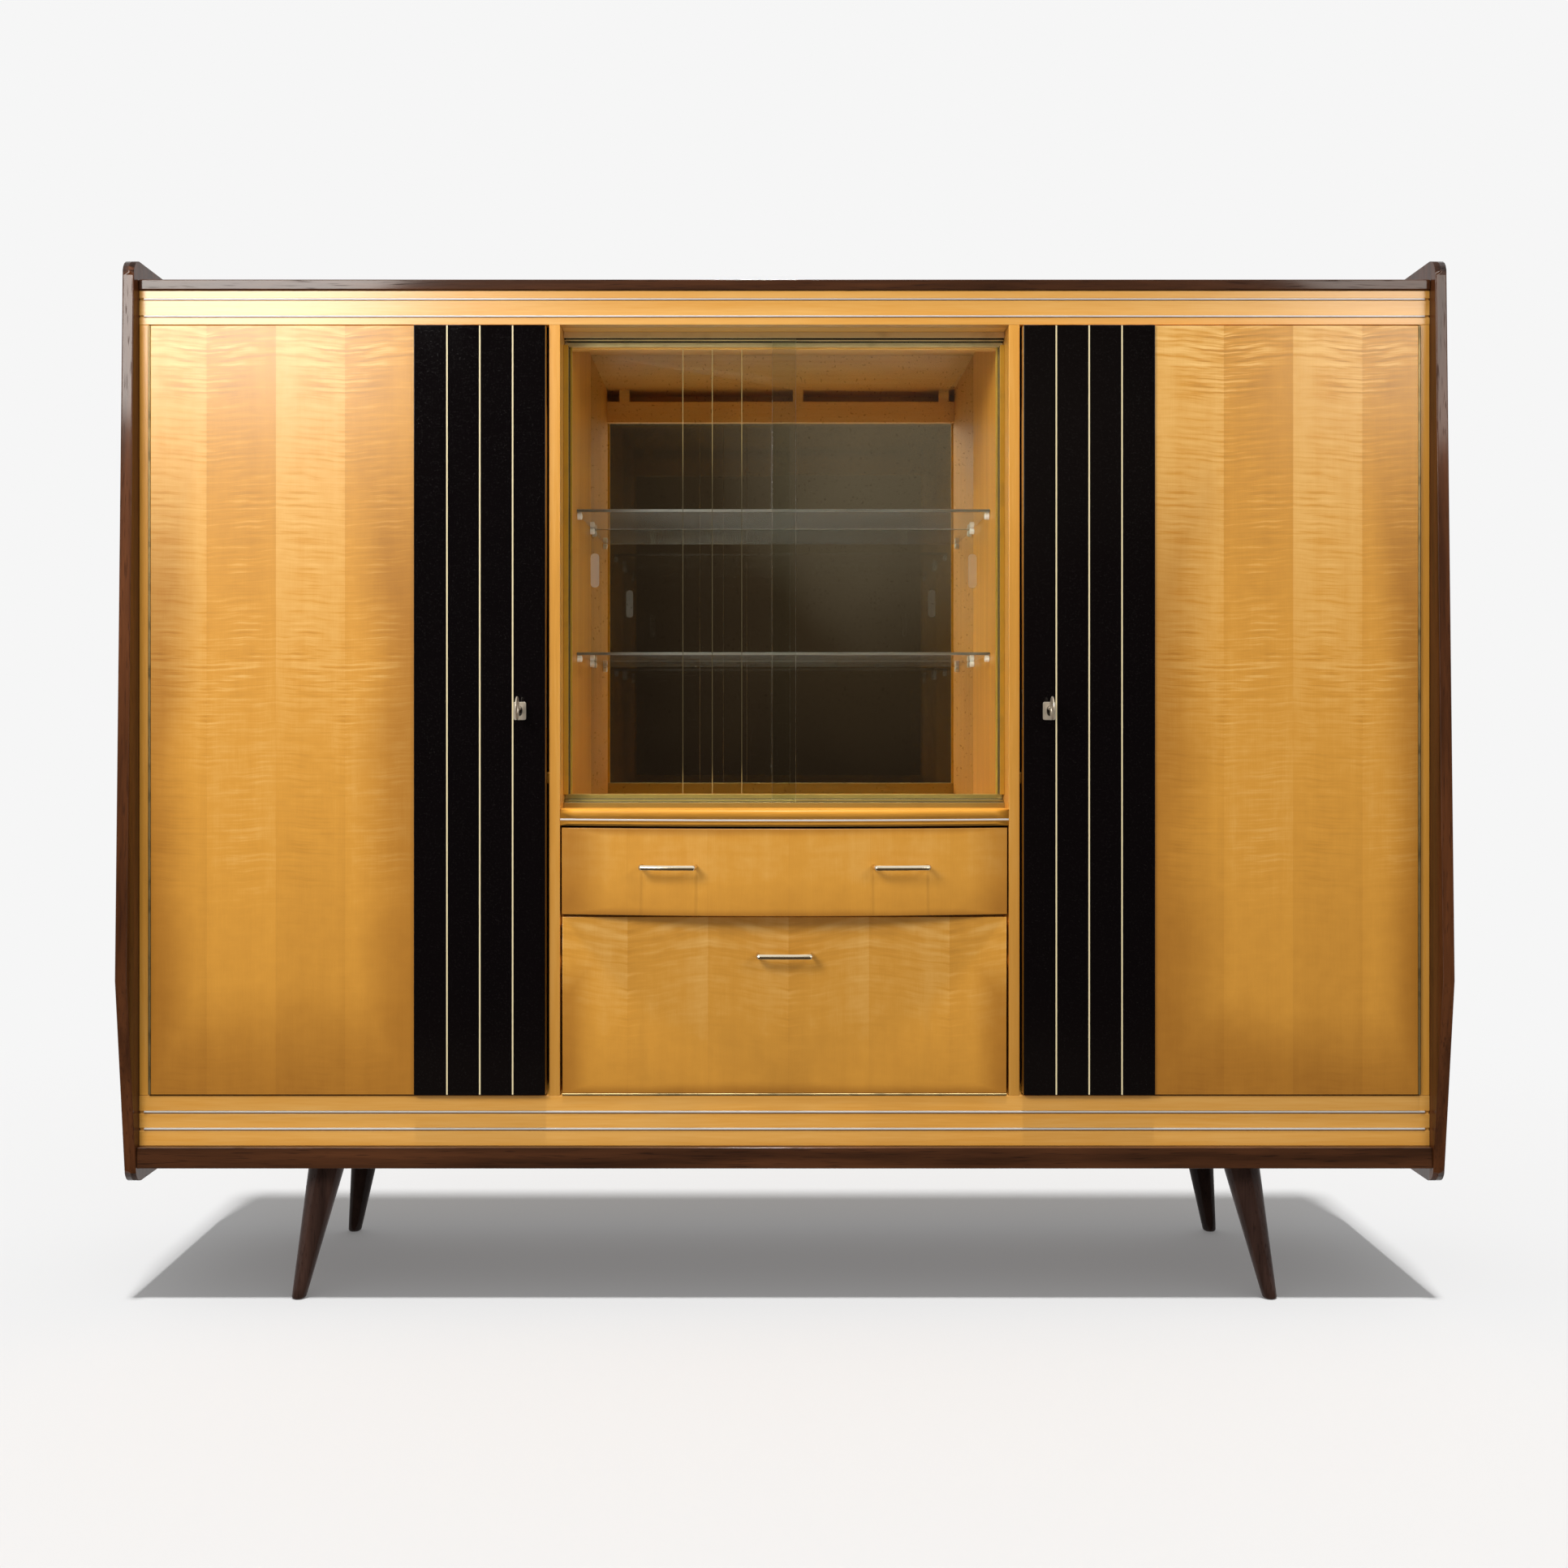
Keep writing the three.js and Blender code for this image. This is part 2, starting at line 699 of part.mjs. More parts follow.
// Bowed fronts: points of the bow from left to right, at a distance behind its middle line.
function bowPoints(half, front) {
  const points = [];
  for (let i = 0; i <= bowSteps; i += 1) {
    const x = half * ((2 * i) / bowSteps - 1);
    points.push([x, front + bowSagAt(x)]);
  }
  return points;
}

function bowSagAt(x) {
  return bowRadius - Math.sqrt(bowRadius ** 2 - x ** 2);
}

function bowBand(half, front, back) {
  return outlineShape([...bowPoints(half, front), ...bowPoints(half, back).reverse()]);
}

// Showcase

// The floor of the showcase: its bowed front edge is rounded over and carries a strip.
function vitrineFloor() {
  const outer = bayInner + lipRound;
  const plan = outlineShape([
    ...bowPoints(outer, bowFront + lipRound),
    [outer, innerBack + lipRound],
    [-outer, innerBack + lipRound],
  ]);
  const rounded = new THREE.ExtrudeGeometry(plan, {
    depth: vitrineFloorThickness,
    bevelEnabled: true,
    bevelThickness: lipRound,
    bevelSize: lipRound,
    bevelSegments: lipRoundSteps,
  }).translate(0, 0, vitrineFloorBottom - lipRound);
  const room = block(
    [-bayInner, bowFront - overrun, vitrineFloorBottom],
    [bayInner, innerBack, vitrineFloorTop],
  );
  const groove = prismZ(
    bowBand(bayInner + overrun, bowFront - overrun, bowFront + trimDepth),
    vitrineFloorTop - lipTrimDrop - lipTrimHeight - seam,
    vitrineFloorTop - lipTrimDrop + seam,
  );
  return cut(common(rounded, room), groove);
}

function lipTrim() {
  return prismZ(
    bowBand(bayInner, bowFront - lipTrimProud, bowFront + trimDepth - seam),
    vitrineFloorTop - lipTrimDrop - lipTrimHeight,
    vitrineFloorTop - lipTrimDrop,
  );
}

// Ceiling board with the slotted rail that carries the upper track, hung from it on three blocks.
function vitrineCeiling() {
  const board = block(
    [-bayInner, innerFront, vitrineCeilingBottom],
    [bayInner, innerBack, vitrineCeilingTop],
  );
  const soffit = block([-bayInner, innerFront, upperFasciaBottom], [bayInner, battenBack, soffitTop]);
  const batten = block([-bayInner, battenFront, battenBottom], [bayInner, battenBack, soffitTop]);
  const blocks = battenBlockShares.map((share) => {
    const middle = share * liningInner;
    return block(
      [middle - battenBlockWidth / 2, battenBack - battenBlockDepth, soffitTop - seam],
      [middle + battenBlockWidth / 2, battenBack, vitrineCeilingBottom + seam],
    );
  });
  return join(board, soffit, batten, ...blocks);
}

// Side lining of the showcase on the +X side, with the shelf pins that stand out of it.
function vitrineLining() {
  const board = prismX(
    outlineShape([
      [battenFront, vitrineFloorTop + seam],
      [mirrorFront - seam, vitrineFloorTop + seam],
      [mirrorFront - seam, vitrineCeilingBottom - seam],
      [battenBack + seam, vitrineCeilingBottom - seam],
      [battenBack + seam, battenBottom - seam],
      [battenFront, battenBottom - seam],
    ]),
    liningInner,
    bayInner,
  );
  const shelfBack = mirrorFront - glassShelfBackGap;
  const pins = glassShelfRises.flatMap((rise) => {
    const top = vitrineFloorTop + rise - seam;
    const fronts = [shelfBack - glassShelfDepth + shelfPinInset, shelfBack - shelfPinInset - shelfPinDepth];
    return fronts.map((front) =>
      block(
        [liningInner - shelfPinLength, front, top - shelfPinHeight],
        [liningInner + seam, front + shelfPinDepth, top],
      ),
    );
  });
  return join(board, ...pins);
}

// Double track for the panes, along local X, on a base at local Z = 0, front fin first.
function glassTrack(length, finHeights) {
  const base = block([-length / 2, 0, 0], [length / 2, trackDepth, trackBase]);
  const fins = finHeights.map((height, i) => {
    const before = trackFinDepths.slice(0, i).reduce((sum, depth) => sum + depth, i * trackGroove);
    return block([-length / 2, before, 0], [length / 2, before + trackFinDepths[i], height]);
  });
  return join(base, ...fins);
}

function addTracks(group) {
  const lower = addPiece(group, "lower_glass_track", glassTrack(2 * bayInner, lowerFinHeights), brass);
  lower.position.set(0, trackFront, lowerTrackBottom);
  const upper = addPiece(group, "upper_glass_track", glassTrack(2 * bayInner, upperFinHeights), brass);
  upper.position.set(0, trackFront, upperTrackTop);
  upper.scale.z = -1;
}

function addGlassChannel(group, sideName) {
  const bottom = lowerTrackBottom + Math.max(...lowerFinHeights) + seam;
  const top = upperTrackTop - Math.max(...upperFinHeights) - seam;
  const profile = glassTrack(top - bottom, channelFinHeights);
  const channel = addPiece(group, `${sideName}_glass_channel`, profile, brass);
  channel.rotation.y = -Math.PI / 2;
  channel.position.set(bayInner, trackFront, (bottom + top) / 2);
}

// A pane in the groove of its number, closed to one side, with a ground finger pull.
function glassPane(side, groove) {
  const outer = bayHalf - paneEdgeClearance;
  const grooveFront = trackFinDepths
    .slice(0, groove + 1)
    .reduce((sum, depth) => sum + depth, trackFront + groove * trackGroove);
  const front = grooveFront + (trackGroove - paneThickness) / 2;
  const xs = [side * outer, side * (outer - paneWidth)];
  const glass = block(
    [Math.min(...xs), front, paneBottom],
    [Math.max(...xs), front + paneThickness, paneTop],
  );
  const pullX = side * (outer - pullInset);
  const pull = prismY(
    roundedRectangle(
      pullX - pullWidth / 2,
      paneBottom + pullRise - pullHeight / 2,
      pullWidth,
      pullHeight,
      pullWidth / 2,
    ),
    front - overrun,
    front + pullDepth,
    pullSteps,
  );
  return cut(glass, pull);
}

function addGlassShelves(group) {
  const half = liningInner - glassShelfEndGap;
  const back = mirrorFront - glassShelfBackGap;
  ["lower", "upper"].forEach((level, i) => {
    const bottom = vitrineFloorTop + glassShelfRises[i];
    addBoard(
      group,
      `${level}_glass_shelf`,
      [-half, back - glassShelfDepth, bottom],
      [half, back, bottom + glassShelfThickness],
      clearGlass,
    );
  });
}

// Handles: a flat bar along local X, bent back at both ends; the front that carries it is at local Y = 0.
function handleLine(half, reach, bend) {
  const corner = [[-half, -seam]];
  for (let i = 0; i <= bendSteps; i += 1) {
    const turn = (Math.PI / 2) * (i / bendSteps);
    corner.push([bend * (1 - Math.cos(turn)) - half, bend * (1 - Math.sin(turn)) - reach]);
  }
  const arch = [];
  for (let i = 1; i < archSteps; i += 1) {
    const share = (2 * i) / archSteps - 1;
    arch.push([(half - bend) * share, -reach - handleArch * (1 - share ** 2)]);
  }
  return [...corner, ...arch, ...corner.map(([x, y]) => [-x, y]).reverse()];
}

function barHandle() {
  const half = handleLength / 2;
  const outside = handleLine(half, handleStandoff + handleThickness, handleBend);
  const inside = handleLine(half - handleThickness, handleStandoff, handleBend - handleThickness);
  const shape = outlineShape([...outside, ...inside.reverse()]);
  return prismZ(shape, -handleHeight / 2, handleHeight / 2);
}

// Drawer: a bowed front, and a tray whose open end follows the back of the front.
function drawerFront() {
  return prismZ(
    bowBand(bowHalfWidth, bowFront, bowFront + drawerFrontThickness),
    drawerFrontBottom,
    drawerFrontTop,
  );
}

function drawerBox() {
  const front = bowFront + drawerFrontThickness + seam;
  const plan = (half, start, back) =>
    outlineShape([...bowPoints(half, start), [half, back], [-half, back]]);
  const outside = prismZ(
    plan(drawerHalf, front, drawerBoxBack),
    drawerBoxBottom,
    drawerBoxBottom + drawerBoxHeight,
  );
  const inside = prismZ(
    plan(drawerHalf - drawerWall, front - overrun, drawerBoxBack - drawerWall),
    drawerBoxBottom + drawerBottom,
    drawerBoxBottom + drawerBoxHeight + overrun,
  );
  return cut(outside, inside);
}

function addDrawer(group) {
  addPiece(group, "drawer_front", drawerFront(), maple);
  addPiece(group, "drawer_box", drawerBox(), maple);
  ["left", "right"].forEach((sideName, i) => {
    const x = drawerHandleOffset * (2 * i - 1);
    const handle = addPiece(group, `${sideName}_drawer_handle`, barHandle(), nickel);
    handle.position.set(x, bowFront + bowSagAt(x), drawerFrontTop - drawerHandleDrop);
    handle.rotation.z = Math.asin(x / bowRadius);
  });
}

// Bar flap with the bracket and pin on which its stay turns.
function flapPanel() {
  const board = block([-flapHalf, flapFront, flapBottom], [flapHalf, flapBack, flapTop]);
  const pivotY = flapFront + stayPivotSetback;
  const pivotZ = flapAxisZ + stayPivotRise;
  const bracketX = stayX + stayThickness / 2 + seam;
  const bracket = block(
    [bracketX, flapBack - seam, pivotZ - stayBracketHeight / 2],
    [bracketX + stayBracketWidth, pivotY + stayBracketHeight / 2, pivotZ + stayBracketHeight / 2],
  );
  const pin = rodX(
    stayPinRadius,
    stayX - stayThickness / 2 - stayPinTail,
    bracketX + stayBracketWidth / 2,
    pivotY,
    pivotZ,
    stayPinSides,
  );
  return join(board, bracket, pin);
}

// The stay lies along local Y from its pivot on the flap; its slot rides on the partition's pin.
function flapStay(closedReach, openReach) {
  const end = openReach + stayPinRadius + stayEnd;
  const bar = roundedRectangle(-stayEnd, -stayWidth / 2, end + stayEnd, stayWidth, stayWidth / 2);
  const bore = new THREE.Path();
  bore.absarc(0, 0, stayPinRadius + stayBoreClearance, 0, 2 * Math.PI, true);
  const half = stayPinRadius + staySlotClearance;
  const slot = new THREE.Path();
  slot.moveTo(closedReach, -half);
  slot.absarc(closedReach, 0, half, -Math.PI / 2, Math.PI / 2, true);
  slot.lineTo(openReach, half);
  slot.absarc(openReach, 0, half, Math.PI / 2, -Math.PI / 2, true);
  slot.closePath();
  bar.holes.push(bore, slot);
  return prismX(bar, -stayThickness / 2, stayThickness / 2, stayPinSides);
}

function addFlap(group) {
  addPiece(group, "bar_flap", flapPanel(), maple);
  const handle = addPiece(group, "flap_handle", barHandle(), nickel);
  handle.position.set(0, flapFront, flapTop - flapHandleDrop);
  const leaf = addPiece(group, "flap_hinge_leaf", hingeLeaf(flapHinge, 2 * flapHalf, -1, 1), brass);
  leaf.rotation.y = Math.PI / 2;
  leaf.position.set(-flapHalf, flapFront, flapAxisZ);
  const pivot = new THREE.Vector2(stayPivotSetback, stayPivotRise);
  const pin = new THREE.Vector2(stayPinSetback, stayPinRise);
  const opened = pivot.clone().rotateAround(new THREE.Vector2(), flapOpenAngle);
  const stay = addPiece(
    group,
    "flap_stay",
    flapStay(pivot.distanceTo(pin), opened.distanceTo(pin)),
    brass,
  );
  stay.position.set(stayX, flapFront + pivot.x, flapAxisZ + pivot.y);
  stay.rotation.x = pin.clone().sub(pivot).angle();
}

// One side of the cabinet, modelled on the +X side; the left one is its mirror image.
function cabinetSide(sideName) {
  const side = new THREE.Group();
  addPiece(side, `${sideName}_side_panel`, sidePanel(), walnut);
  addLegs(side, sideName);
  addBoard(
    side,
    `${sideName}_stile`,
    [stileInner, frameSetback, lowerFasciaTop + seam],
    [innerHalf, fasciaBack, upperFasciaBottom - seam],
    maple,
  );
  addPiece(side, `${sideName}_partition`, partition(sideName === "left"), maple);
  const shelfTop = lowerFasciaTop + cupboardShelfHeight;
  addBoard(
    side,
    `${sideName}_cupboard_shelf`,
    [partitionOuter + seam, innerFront + cupboardShelfSetback, shelfTop - cupboardShelfThickness],
    [innerHalf, innerBack - seam, shelfTop],
    maple,
  );
  addDoorHingeLeaf(side, `${sideName}_stile_hinge_leaf`, 1, 0);
  addDoor(side, sideName);
  addPiece(side, `${sideName}_vitrine_lining`, vitrineLining(), maple);
  addGlassChannel(side, sideName);
  side.scale.x = sideName === "left" ? -1 : 1;
  return side;
}

function addCase(group) {
  addBoard(
    group,
    "top_board",
    [-innerHalf, frameSetback - topBoardProud, topBoardBottom],
    [innerHalf, caseDepth, topBoardTop],
    walnut,
  );
  addBoard(
    group,
    "bottom_board",
    [-innerHalf, frameSetback - bottomBoardProud, legHeight],
    [innerHalf, caseDepth, bottomBoardTop],
    walnut,
  );
  addBoard(
    group,
    "back_panel",
    [-innerHalf, backPanelFront, bottomBoardTop + seam],
    [innerHalf, backPanelFront + backPanelThickness, topBoardBottom - seam],
    plywood,
  );
  addBoard(
    group,
    "carcass_floor",
    [-innerHalf, innerFront, lowerFasciaTop - carcassFloorThickness],
    [innerHalf, innerBack, lowerFasciaTop],
    maple,
  );
  addFascia(group, "upper", upperFasciaBottom, upperFasciaHeight, upperTrimDrops, upperTrimHeight);
  addFascia(group, "lower", lowerFasciaBottom, lowerFasciaHeight, lowerTrimDrops, lowerTrimHeight);
}

function addCentreBay(group) {
  addPiece(group, "vitrine_floor", vitrineFloor(), maple);
  addPiece(group, "lip_trim", lipTrim(), aluminium);
  addPiece(group, "vitrine_ceiling", vitrineCeiling(), maple);
  addBoard(
    group,
    "mirror",
    [-bayInner, mirrorFront, vitrineFloorTop + seam],
    [bayInner, innerBack, vitrineCeilingBottom - seam],
    mirrorGlass,
  );
  addTracks(group);
  addGlassShelves(group);
  addBoard(
    group,
    "drawer_shelf",
    [-bayInner, innerFront, drawerShelfTop - drawerShelfThickness],
    [bayInner, innerBack, drawerShelfTop],
    maple,
  );
  const leaf = addPiece(group, "fascia_hinge_leaf", hingeLeaf(flapHinge, 2 * flapHalf, 1, 0), brass);
  leaf.rotation.y = Math.PI / 2;
  leaf.position.set(-flapHalf, flapFront, flapAxisZ);
}

function barCabinet() {
  const cabinet = new THREE.Group();
  addCase(cabinet);
  addCentreBay(cabinet);
  cabinet.add(cabinetSide("left"), cabinetSide("right"));
  addPiece(cabinet, "left_glass_pane", glassPane(-1, 0), clearGlass);
  addPiece(cabinet, "right_glass_pane", glassPane(1, 1), clearGlass);
  addDrawer(cabinet);
  addFlap(cabinet);
  return cabinet;
}

// The origin lies on the floor, under the middle of the whole cabinet.
const cabinet = barCabinet();
const extent = new THREE.Box3().setFromObject(cabinet, true);
cabinet.position.y = -(extent.min.y + extent.max.y) / 2;
const root = new THREE.Group();
root.add(cabinet);

export default root;
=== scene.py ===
"""The looks of a bar cabinet of the 1950s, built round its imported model: walnut case, figured maple
fronts, black glass with gold lines, a mirrored showcase, brass tracks and piano hinges."""

import json
import math

import bmesh
import bpy
from mathutils import Matrix, Vector

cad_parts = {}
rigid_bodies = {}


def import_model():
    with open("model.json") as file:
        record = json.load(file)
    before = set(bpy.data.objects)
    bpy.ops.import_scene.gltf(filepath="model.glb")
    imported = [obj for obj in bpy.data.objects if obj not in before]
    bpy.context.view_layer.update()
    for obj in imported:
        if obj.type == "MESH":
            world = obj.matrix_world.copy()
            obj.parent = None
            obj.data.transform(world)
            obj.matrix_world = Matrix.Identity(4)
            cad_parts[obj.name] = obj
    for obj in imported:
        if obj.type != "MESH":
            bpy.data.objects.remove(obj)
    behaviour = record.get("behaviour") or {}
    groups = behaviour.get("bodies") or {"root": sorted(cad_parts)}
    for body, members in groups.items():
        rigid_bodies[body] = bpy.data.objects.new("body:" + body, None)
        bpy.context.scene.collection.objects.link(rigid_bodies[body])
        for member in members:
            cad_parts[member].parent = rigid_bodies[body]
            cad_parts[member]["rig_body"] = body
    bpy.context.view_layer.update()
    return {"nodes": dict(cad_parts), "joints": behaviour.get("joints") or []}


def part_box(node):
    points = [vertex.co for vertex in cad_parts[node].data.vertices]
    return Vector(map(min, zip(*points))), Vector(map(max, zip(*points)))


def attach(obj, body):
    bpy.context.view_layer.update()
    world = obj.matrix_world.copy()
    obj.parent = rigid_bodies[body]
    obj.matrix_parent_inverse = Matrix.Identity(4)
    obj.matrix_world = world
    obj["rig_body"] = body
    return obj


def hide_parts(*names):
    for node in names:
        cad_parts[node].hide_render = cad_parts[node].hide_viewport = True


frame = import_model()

CASE_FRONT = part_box("left_side_panel")[0].y

bl_info = {
    "name": "Bar cabinet",
    "version": (1, 0, 0),
    "blender": (4, 5, 0),
    "location": "3D View > Sidebar > Cabinet",
    "description": "Dresses the packed bar cabinet in wood, glass and metal, piece by piece",
    "category": "Object",
}

SIDES = {"left": -1, "right": 1}


# Sizes and colours that a user may change

def length(name, description, default):
    return bpy.props.FloatProperty(
        name=name, description=description, default=default, unit="LENGTH", precision=5
    )


def colour(name, description, default):
    return bpy.props.FloatVectorProperty(
        name=name, description=description, default=default, size=3, subtype="COLOR", min=0, max=1
    )


class CabinetSizes(bpy.types.PropertyGroup):
    board_round: length("Board edge", "Radius of the edges of maple boards", 0.0009)
    walnut_round: length("Walnut edge", "Radius of the edges of the walnut case", 0.0022)
    metal_round: length("Metal edge", "Radius of the edges of drawn metal strips", 0.0003)
    glass_round: length("Glass edge", "Radius of the polished edges of the glass", 0.0005)
    door_strip: length("Door veneer", "Width of a veneer strip on a door", 0.1157)
    bay_strip: length("Bay veneer", "Width of a veneer strip on the drawer and the flap", 0.1348)
    bay_strip_start: length("Bay joint", "Place of a veneer joint on the flap, from the middle", 0.007)
    black_width: length("Black panel", "Width of the black glass on a door", 0.2194)
    gold_width: length("Gold line", "Width of the gold lines on the black glass", 0.0024)
    gold_first: length("First gold line", "From the inner edge of a door to its first gold line", 0.0543)
    gold_pitch: length("Gold pitch", "Distance of the gold lines on a door", 0.0548)
    gold_proud: length("Gold height", "Height of a gold line above the glass", 0.0004)
    pane_line_width: length("Pane line", "Width of the gold lines on the left pane", 0.0010)
    pane_line_last: length("Last pane line", "From the middle of the cabinet to the last line", 0.0722)
    pane_line_inset: length("Pane line inset", "Pane lines end this far inside the pane", 0.0218)
    pane_line_pitch: length("Pane pitch", "Distance of the gold lines on the left pane", 0.0503)
    knuckle: length("Knuckle", "Length of a knuckle of the piano hinges", 0.032)
    screw_pitch: length("Screw pitch", "Distance of the screws in a hinge leaf", 0.064)
    screw_radius: length("Screw head", "Radius of a screw head in a hinge leaf", 0.0021)
    foot_radius: length("Foot", "Radius of a leg at the floor", 0.012)
    leg_radius: length("Leg", "Radius of a leg at its upper end", 0.031)
    foot_round: length("Foot rounding", "Radius of the rounding under a foot", 0.004)
    collar: length("Leg collar", "Thickness of the pale disc between a leg and the case", 0.0022)
    keyhole_width: length("Keyhole width", "Width of the keyhole in a lock plate", 0.009)
    keyhole_height: length("Keyhole height", "Height of the keyhole in a lock plate", 0.017)
    handle_height: length("Handle height", "Height of the bent bar of a handle", 0.008)
    handle_thickness: length("Handle thickness", "Thickness of the bent bar of a handle", 0.0045)
    handle_arch: length("Handle arch", "How far the middle of a handle stands out", 0.002)
    handle_bend: length("Handle bend", "Outer radius of the bends of a handle", 0.007)
    pin_radius: length("Shelf pin", "Radius of the pins under the glass shelves", 0.0058)
    nail_radius: length("Nail head", "Radius of the nail heads in the back", 0.0032)
    nail_pitch: length("Nail pitch", "Distance of the nails in the back", 0.11)


class CabinetColours(bpy.types.PropertyGroup):
    maple_deep: colour("Maple shade", "Darkest tone of the figured maple", (0.38, 0.150, 0.009))
    maple_mid: colour("Maple", "Main tone of the figured maple", (0.66, 0.300, 0.032))
    maple_light: colour("Maple light", "Lightest tone of the figured maple", (0.90, 0.56, 0.18))
    maple_plain: colour("Plain maple", "Main tone of the straight maple", (0.74, 0.34, 0.046))
    walnut_deep: colour("Walnut shade", "Darkest tone of the walnut", (0.014, 0.0055, 0.003))
    walnut_light: colour("Walnut light", "Lightest tone of the walnut", (0.105, 0.036, 0.013))
    panel_deep: colour("Side shade", "Darkest tone of the side panels", (0.030, 0.010, 0.004))
    panel_light: colour("Side light", "Lightest tone of the side panels", (0.15, 0.048, 0.015))
    leg_deep: colour("Leg shade", "Darkest tone of the stained legs", (0.016, 0.0085, 0.007))
    leg_light: colour("Leg light", "Lightest tone of the stained legs", (0.070, 0.036, 0.027))
    ply_deep: colour("Plywood shade", "Darkest tone of the plywood back", (0.27, 0.15, 0.07))
    ply_light: colour("Plywood light", "Lightest tone of the plywood back", (0.52, 0.34, 0.18))
    black: colour("Black glass", "Colour of the black glass", (0.003, 0.0022, 0.0025))
    gold: colour("Gold line", "Colour of the gold lines", (0.83, 0.68, 0.40))
    pane_gold: colour("Pane line", "Colour of the lines on the left pane", (0.36, 0.27, 0.09))
    brass: colour("Brass", "Colour of the tracks and hinges", (0.70, 0.52, 0.16))
    old_brass: colour("Hinge brass", "Colour of the piano hinges", (0.36, 0.27, 0.12))
    nickel: colour("Nickel", "Colour of handles, locks and keys", (0.80, 0.69, 0.50))
    aluminium: colour("Aluminium", "Colour of the strips in the fascias", (0.78, 0.76, 0.72))
    steel: colour("Steel", "Colour of bolts and screws", (0.42, 0.41, 0.39))
    mirror: colour("Mirror", "Tint of the mirror", (0.80, 0.79, 0.74))
    glass: colour("Glass", "Tint of the clear glass", (0.95, 0.97, 0.95))
    glass_edge: colour("Glass edge", "Colour at the edges of the clear glass", (0.50, 0.52, 0.44))
    pin: colour("Shelf pins", "Colour of the plastic shelf pins", (0.93, 0.91, 0.87))


class CabinetStage(bpy.types.PropertyGroup):
    camera_x: length("Camera side", "Place of the camera beside the middle", -0.0302)
    camera_distance: length("Camera distance", "Camera to the foremost edge of the cabinet", 2.6)
    camera_height: length("Camera height", "Camera above the floor", 0.9463)
    backdrop: bpy.props.FloatProperty(
        name="Backdrop", description="Brightness of floor and backdrop", default=0.922
    )


# Small tools

def sizes():
    return bpy.context.scene.cabinet_sizes


def colours():
    return bpy.context.scene.cabinet_colours


def smoothed(mesh):
    mesh.polygons.foreach_set("use_smooth", [True] * len(mesh.polygons))
    mesh.update()


def piece_of(name, mesh, body, material=None, nodes=()):
    """A finished mesh as a piece that moves with a body and stands for the named nodes."""
    piece = bpy.data.objects.new(name, mesh)
    bpy.context.scene.collection.objects.link(piece)
    if material is not None:
        mesh.materials.clear()
        mesh.materials.append(material)
    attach(piece, body)
    if nodes:
        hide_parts(*nodes)
    return piece


def body_of(node):
    return frame["nodes"][node]["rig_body"]


def paint(node, material):
    """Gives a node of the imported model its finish."""
    mesh = frame["nodes"][node].data
    mesh.materials.clear()
    mesh.materials.append(material)


MERGE = 1e-6
FLAT = math.radians(0.05)
CORNER = math.radians(30)
ROUND_STEPS = 3


def merged(node):
    bm = bmesh.new()
    bm.from_mesh(frame["nodes"][node].data)
    bmesh.ops.remove_doubles(bm, verts=bm.verts, dist=MERGE)
    bmesh.ops.dissolve_limit(bm, angle_limit=FLAT, verts=bm.verts, edges=bm.edges)
    return bm


def softened(node, radius, shortest=0.0, trim=None):
    """A copy of a node with its convex edges rounded; trim may change the merged mesh first."""
    bm = merged(node)
    if trim:
        trim(bm)
    edges = [
        e for e in bm.edges
        if len(e.link_faces) == 2 and e.is_convex
        and e.calc_face_angle(0) > CORNER and e.calc_length() > max(shortest, 2 * radius)
    ]
    bmesh.ops.bevel(
        bm, geom=edges, offset=radius, offset_type="OFFSET", segments=ROUND_STEPS,
        profile=0.5, affect="EDGES", clamp_overlap=False,
    )
    mesh = bpy.data.meshes.new(node + "_rounded")
    bm.to_mesh(mesh)
    bm.free()
    smoothed(mesh)
    return mesh


def weighted(piece):
    """Keeps the broad faces flat beside their rounded edges."""
    modifier = piece.modifiers.new("broad_faces_flat", "WEIGHTED_NORMAL")
    modifier.keep_sharp = True
    return piece


def board(node, radius, material, shortest=0.0, trim=None):
    mesh = softened(node, radius, shortest, trim)
    piece = piece_of(node + "_rounded", mesh, body_of(node), material, [node])
    return weighted(piece)


# Node trees: one class adds nodes, one wraps a socket so that arithmetic adds Math nodes

class Wire:
    def __init__(self, tree, socket):
        self.tree = tree
        self.socket = socket

    def math(self, operation, *others, clamp=False):
        settings = {"operation": operation, "use_clamp": clamp}
        made = self.tree.node("ShaderNodeMath", settings, dict(enumerate([self, *others])))
        return Wire(self.tree, made.outputs[0])

    def __add__(self, other):
        return self.math("ADD", other)

    def __sub__(self, other):
        return self.math("SUBTRACT", other)

    def __rsub__(self, other):
        made = self.tree.node("ShaderNodeMath", {"operation": "SUBTRACT"}, {0: other, 1: self})
        return Wire(self.tree, made.outputs[0])

    def __mul__(self, other):
        return self.math("MULTIPLY", other)

    def __truediv__(self, other):
        return self.math("DIVIDE", other)

    __radd__ = __add__
    __rmul__ = __mul__

    def fit(self, low, high):
        """0 at low, 1 at high and smooth between them."""
        made = self.tree.node(
            "ShaderNodeMapRange", {"interpolation_type": "SMOOTHSTEP"},
            {"Value": self, "From Min": low, "From Max": high},
        )
        return Wire(self.tree, made.outputs["Result"])


